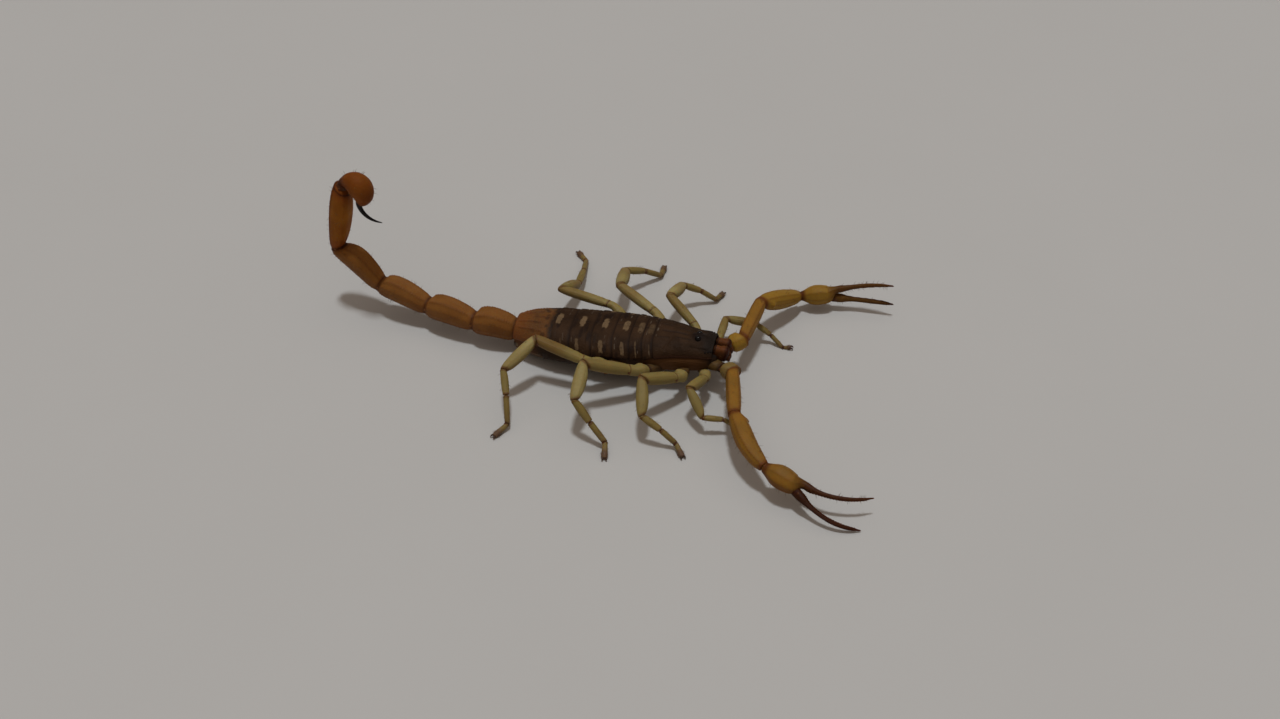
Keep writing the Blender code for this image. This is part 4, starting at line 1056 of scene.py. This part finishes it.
# each part of a leg: section, keels, grid, the solid and rings it is read from, bristles (count, length)
legLook = {
    "coxa": dict(square=2.6, start=-0.5, fit=1.3, nose=0.3, tail=0.15, dark=0.04, grid=(30, 40),
                 source=("femur", 0, 3), hairs=(0, 0), keels=((42, 0.04, 12, 0.1, 0.9),)),
    "trochanter": dict(square=2.3, start=0.04, stop=0.96, nose=0.15, tail=0.15, dark=0.03, fit=1.08,
                       grid=(22, 40), source=("femur", 2, 6), hairs=(6, 0.3),
                       keels=((40, 0.03, 12, 0.2, 0.85), (140, 0.03, 12, 0.2, 0.85))),
    "femur": dict(square=2.5, start=-0.06, nose=0.25, dark=0.025, grid=(64, 44),
                  source=("femur", 5, 10), hairs=(16, 0.4), knob=0.95,
                  keels=((34, 0.045, 9, 0.05, 0.96, 3.0, 0.2), (146, 0.045, 9, 0.05, 0.96, 3.0, 0.2))),
    "patella": dict(square=2.4, nose=0.25, dark=0.045, grid=(56, 44), source=("patella", 0, 6),
                    hairs=(18, 0.42), knob=0.95,
                    keels=((30, 0.035, 9, 0.06, 0.95, 0, 0.2), (146, 0.035, 9, 0.06, 0.95, 0, 0.2))),
    "tibia": dict(nose=0.22, dark=0.04, grid=(36, 32), source=("tarsus", 0, 3),
                  hairs=(20, 0.42), grain=0.008, knob=0.95, keels=((0, 0.02, 12, 0.1, 0.9),)),
    "basitarsus": dict(start=-0.15, nose=0.15, tail=0.10, dark=0.06, grid=(36, 28),
                       source=("tarsus", 3, 6), hairs=(26, 0.30), grain=0.008, knob=0.45),
    "tarsus": dict(start=-0.22, nose=0.15, tail=0.14, grid=(30, 28),
                   source=("tarsus", 6, 9), hairs=(26, 0.24), grain=0.008, knob=0.45,
                   swell=((0, 0.5, 0.8, 1.0), (1.0, 1.10, 1.28, 1.15))),
}
# what sets single legs apart, as (trochanter, femur, patella) of each: how pale the parts are, partly their
# own colour and on the patellas mostly painted light for their shaded sides; how amber, and how stout; and
# which foot is shorter
legTone = {"pale": {("right", 3): (0, 0.2, 0.7), ("right", 4): (0, 0.2, 1.0), ("left", 2): (0, 0.2, 1.0),
                    ("left", 3): (0, 0.6, 0.6), ("left", 4): (0, 0.5, 0.2)},
           "amber": {("right", 3): (0, 0.2, 0), ("right", 4): (0, 0.8, 0.25),
                     **{("left", number): (0, 0.45, 0.45) for number in range(1, 5)}},
           "stout": {("right", 1): (1.14, 1.14, 1), ("right", 2): (1.10, 1.10, 1),
                     ("left", 1): (1, 0.94, 0.90), ("left", 2): (0.80, 0.86, 1),
                     ("left", 3): (0.84, 0.88, 1), ("left", 4): (0.78, 0.86, 1)},
           "shortFoot": {("left", 1): 0.45}}


def buildLeg(side, number, cell):
    # a leg's three solids give the rings of its seven parts, and each part is swept along its own rings
    source, near = {}, nodeMiddle("sternum")
    for part in ("femur", "patella", "tarsus"):
        source[part] = nodeRings(f"leg_{side}_{number}_{part}", 8, near)
        near = source[part][-1].mean(0)
    paths = {part: ringPath(source[look["source"][0]][slice(*look["source"][1:])], 8)
             for part, look in legLook.items()}
    shorter, toes = legTone["shortFoot"].get((side, number), 1.0), paths["tarsus"]
    toes["middle"] = toes["middle"][0] + (toes["middle"] - toes["middle"][0]) * shorter
    toes["reach"] = toes["reach"] * shorter
    tones = [legTone[tone].get((side, number), [usual] * 3)
             for tone, usual in (("pale", 0.2), ("amber", 0.0), ("stout", 1.0))]
    solids = {}
    for order, (part, look) in enumerate(legLook.items()):
        pale, amber, stout = (tone[order - 1] if 0 < order < 4 else usual
                              for tone, usual in zip(tones, (0.2, 0.0, 1.0)))
        paths[part]["size"] = paths[part]["size"] * stout
        tube = sweep(paths[part], look, *look["grid"])
        share, upper = tube["share"], np.cos(tube["turn"])
        tube = roughen(tube, 0.22, look.get("grain", 0.012), 90 + order + 7 * number)
        tube["grid"][..., 2] = np.maximum(tube["grid"][..., 2], 0.0)
        inner = (1 - ease(share, 0.55, 1.10)) * 0.95
        # painted light: on the patellas the pale coat brightens parts the lamps leave in shade; it shows on
        # the upper side
        pale = pale * ease(upper, -0.3, 0.6)
        mark = {"coxa": 0.3 * (1 - inner), "trochanter": 0.35, "femur": pale, "patella": pale}.get(part, 0.0)
        tip = {"coxa": 0.6 * inner, "tibia": 0.12 * share, "basitarsus": 0.10 + 0.30 * share,
               "tarsus": 0.25 + 0.75 * ease(share, 0.1, 0.7)}.get(part, 0.0)
        under = np.maximum(amber * ease(share, 0.2, 0.6), 0.6 * ease(-upper, 0.5, 0.95))
        solids[part] = solidOf(tube, mark=mark, tip=tip, under=under)
        if look["hairs"][0]:
            plant("bristles_legs", tube, cell, *look["hairs"], 0.7)
        if part == "tarsus":                # a thick brush of short bristles at the foot's end
            plant("bristles_legs", tube, cell, 60, 0.26, 0.9, 0.55, 1.0)
    stands = {"femur": "femur", "patella": "patella", "tibia": "tarsus"}
    for part in list(legLook)[:5]:
        addPiece(f"{part}_{side}_{number}", "rootShell" if part == "coxa" else "legShell",
                 solids[part], [f"leg_{side}_{number}_{stands[part]}"] if part in stands else ())
    addPiece(f"foot_{side}_{number}", "legShell", [solids["basitarsus"], solids["tarsus"]])
    addPiece(f"knees_{side}_{number}", "jointSkin",
             jointRow(paths, legLook, list(legLook)[1:], 0.94, 0.24, 0.1))
    toe, forward = endOf(paths["tarsus"], 1.0)[:2]
    ahead, over = unit(forward * [1, 1, 0]), unit(np.cross(upward, forward))
    wrist = endOf(paths["basitarsus"], 0.97)
    claws = []
    for way in (over, -over):               # a hooked claw and a small spur on each side
        route = [toe - ahead * 0.12 + way * 0.09, toe + ahead * 0.12 + way * 0.17 + upward * 0.10,
                 toe + ahead * 0.32 + way * 0.22 + upward * 0.05, toe + ahead * 0.42 + way * 0.21]
        route[-1][2] = 0.05
        claws.append(thorn(route, (0.13, 0.115, 0.075, 0.015), 12))
        start = wrist[0] + way * wrist[3][0] * 0.7
        tip = start + unit(wrist[1] + way * 0.5) * 0.30
        tip[2] = max(tip[2] - 0.12, 0.03)
        claws.append(thorn([start, (start + tip) / 2 + upward * 0.02, tip], (0.06, 0.045, 0.01), 8))
    addPiece(f"claws_{side}_{number}", "clawHorn", claws)


for side in sideNames:
    for number in range(1, 5):
        buildLeg(side, number, 50 + number + (4 if side == "left" else 0))
print("legs: 8, with knees and claws")

combLook = {"yaw": 128, "length": 4.0, "teeth": 17, "tooth": (0.14, 0.46, 0.17), "beads": 9, "wide": 0.95}


def buildComb(side, sign):
    # a front bar tapering outwards, a row of round plates behind it, and a row of flat teeth
    yaw = math.radians(combLook["yaw"]) * sign
    way = np.array([math.cos(yaw), math.sin(yaw), 0.0])
    back = np.array([-math.sin(yaw), math.cos(yaw), 0.0]) * sign
    axes = np.array([way, back, upward])
    points = nodePoints(f"pectine_{side}")[0]
    low, high = boxOf(f"pectine_{side}")
    root = points[np.argmin(points @ way + 0.3 * points @ back)] * [1, 1, 0] + upward * (low[2] + high[2]) / 2
    length, count, plates = combLook["length"], combLook["teeth"], combLook["beads"]
    route = [root + way * length * t + back * (0.22 + 0.10 * t) for t in (0, 0.33, 0.66, 1.0)]
    solids = [thorn(route, (0.24, 0.23, 0.20, 0.16), 16)]
    for t in (np.arange(plates) + 0.5) / plates:
        wide = combLook["wide"] * (1 - 0.55 * t)
        solids.append(ball(root + way * length * t + back * wide * 0.52,
                           (length / plates * 0.52, 0.26 * (1 - 0.4 * t), 0.15), axes, 16, mark=0.5))
    for t in (np.arange(count) + 0.5) / count:
        wide = combLook["wide"] * (1 - 0.55 * t)
        along, across, thick = combLook["tooth"]
        place = root + way * length * t + back * (wide * 0.62 + 0.28) - upward * 0.03
        solids.append(ball(place, (along, across * (1 - 0.25 * t) * 0.8, thick), axes, 14, mark=0.2))
        solids.append(ball(place - back * 0.30 - upward * 0.08, (0.06, 0.06, 0.06), axes, 10, ridge=0.6))
    addPiece(f"comb_{side}", "combShell", solids, [f"pectine_{side}"])


for side, sign in sideNames.items():
    buildComb(side, sign)
print("combs: 2, with", combLook["teeth"], "teeth each")

bristleLook = {"radius": 0.017, "curve": 0.22, "patch": 0.003}


def bristleCoat(name):
    # each bristle is a thin three-sided cone bent a little: a base ring, a middle ring and a tip;
    # its patch of the unwrap lies where its root does
    roots, ways, lengths, places = (np.concatenate(part) for part in zip(*bristleRoots[name]))
    side = unit(np.cross(ways, upward + 0.01))
    lift = np.cross(side, ways)
    turn = around(3)
    ring = side[:, None] * np.cos(turn)[:, None] + lift[:, None] * np.sin(turn)[:, None]
    ring = ring * bristleLook["radius"] * np.clip(lengths / 0.4, 0.7, 1.3)[:, None, None]
    bend = -lift * (lengths * bristleLook["curve"])[:, None]
    foot = (roots - ways * 0.04)[:, None]
    mid = foot + (ways * lengths[:, None] * 0.5 + bend * 0.25)[:, None] + ring * 0.7
    tip = foot + (ways * lengths[:, None] + bend)[:, None]
    spots = np.concatenate([foot, foot + ring, mid, tip], 1)    # 8 points each
    spots[..., 2] = np.maximum(spots[..., 2], 0.01)
    start = 8 * np.arange(len(roots))[:, None, None]
    quads = np.array([[1, 4, 5, 2], [2, 5, 6, 3], [3, 6, 4, 1]])
    fans = np.array([[0, 1, 2], [0, 2, 3], [0, 3, 1], [7, 5, 4], [7, 6, 5], [7, 4, 6]])
    patch = np.array([[0, 0], [-1, -1], [0, -1], [1, -1], [-1, 0], [0, 0], [1, 0], [0, 1]])
    patch = patch * bristleLook["patch"] / 2
    solid = {"spots": spots.reshape(-1, 3), "quads": (quads + start).reshape(-1, 4),
             "fans": (fans + start).reshape(-1, 3), "facts": {}}
    addPiece(name, "bristleHorn", solid, (), (places[:, None] + patch).reshape(-1, 2))
    print(name + ":", len(roots))


for coat in sorted(bristleRoots):
    bristleCoat(coat)
print("pieces:", len(pieces))


def addThing(name, data):
    thing = bpy.data.objects.new(name, data)
    scene.collection.objects.link(thing)
    return thing


def plainFloor(half):
    # a wide square slab whose top is the ground
    x, y = spread(np.linspace(-half, half, 3), np.linspace(-half, half, 3))
    top = np.stack([x, y, 0 * x - 0.00002], -1)
    solid = facingOut(closedSlab(top, top - [0, 0, 0.01], {}))
    mesh = bpy.data.meshes.new("floor")
    mesh.from_pydata(solid["spots"].tolist(), [], solid["quads"].tolist())
    finish = Finish("floorTile")
    clouds = finish.noise(25.0, 4.0, 0.6)
    colour = finish.blend((0.615, 0.610, 0.606), (0.585, 0.581, 0.575), clouds)
    mesh.materials.append(finish.done(colour, 0.62 + clouds * 0.1, finish.noise(900.0, 3.0), 0.00001,
                                      {"Specular IOR Level": 0.25}))
    addThing("floor", mesh)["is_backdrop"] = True


plainFloor(1.5)


def wayOf(azimuth, elevation):
    # the way a camera or a lamp points when it stands at these angles, from the front right hand side
    turn, rise = math.radians(azimuth), math.radians(elevation)
    return (-math.sin(turn) * math.cos(rise), math.cos(turn) * math.cos(rise), -math.sin(rise))


# each lamp: strength, width in degrees, colour, and the way its light travels
lightLook = {"keyLight": (1.20, 7.0, (0.950, 1.0, 1.022), (0.015, -0.027, -1.0)),
             "fillLight": (0.04, 55.0, (1.0, 0.86, 0.74), wayOf(14.3, 38.0)),
             "skyLight": (0.43, 105.0, (1.0, 0.84, 0.71), (0.0, 0.0, -1.0))}
for name, (power, angle, colour, way) in lightLook.items():
    lamp = bpy.data.lights.new(name, "SUN")
    lamp.energy, lamp.angle, lamp.color = power, math.radians(angle), colour
    thing = addThing(name, lamp)
    thing.rotation_mode = "QUATERNION"
    thing.rotation_quaternion = Vector(way).to_track_quat("-Z", "Y")
roomColour = (0.132, 0.111, 0.094)
room = bpy.data.worlds.new("room")
room.use_nodes = True
room.node_tree.nodes["Background"].inputs["Color"].default_value = (*roomColour, 1.0)
scene.world = room

cameraLook = {"azimuth": 14.3, "elevation": 41.0, "distance": 187.1, "view": 42.0, "aim": (-8.98, 1.055)}
look = wayOf(cameraLook["azimuth"], cameraLook["elevation"])
aim = np.array([headFront + cameraLook["aim"][0], middleY + cameraLook["aim"][1], 0.0])
cameraData = bpy.data.cameras.new("camera")
cameraData.lens = cameraData.sensor_width / 2 / math.tan(math.radians(cameraLook["view"] / 2))
cameraData.clip_start = 0.01
camera = addThing("camera", cameraData)
camera.location = (aim - np.array(look) * cameraLook["distance"]) * mm
camera.rotation_mode = "QUATERNION"
camera.rotation_quaternion = Vector(look).to_track_quat("-Z", "Y")
scene.camera = camera
scene.view_settings.view_transform = "Standard"
print("floor, light and camera set")

low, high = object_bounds()
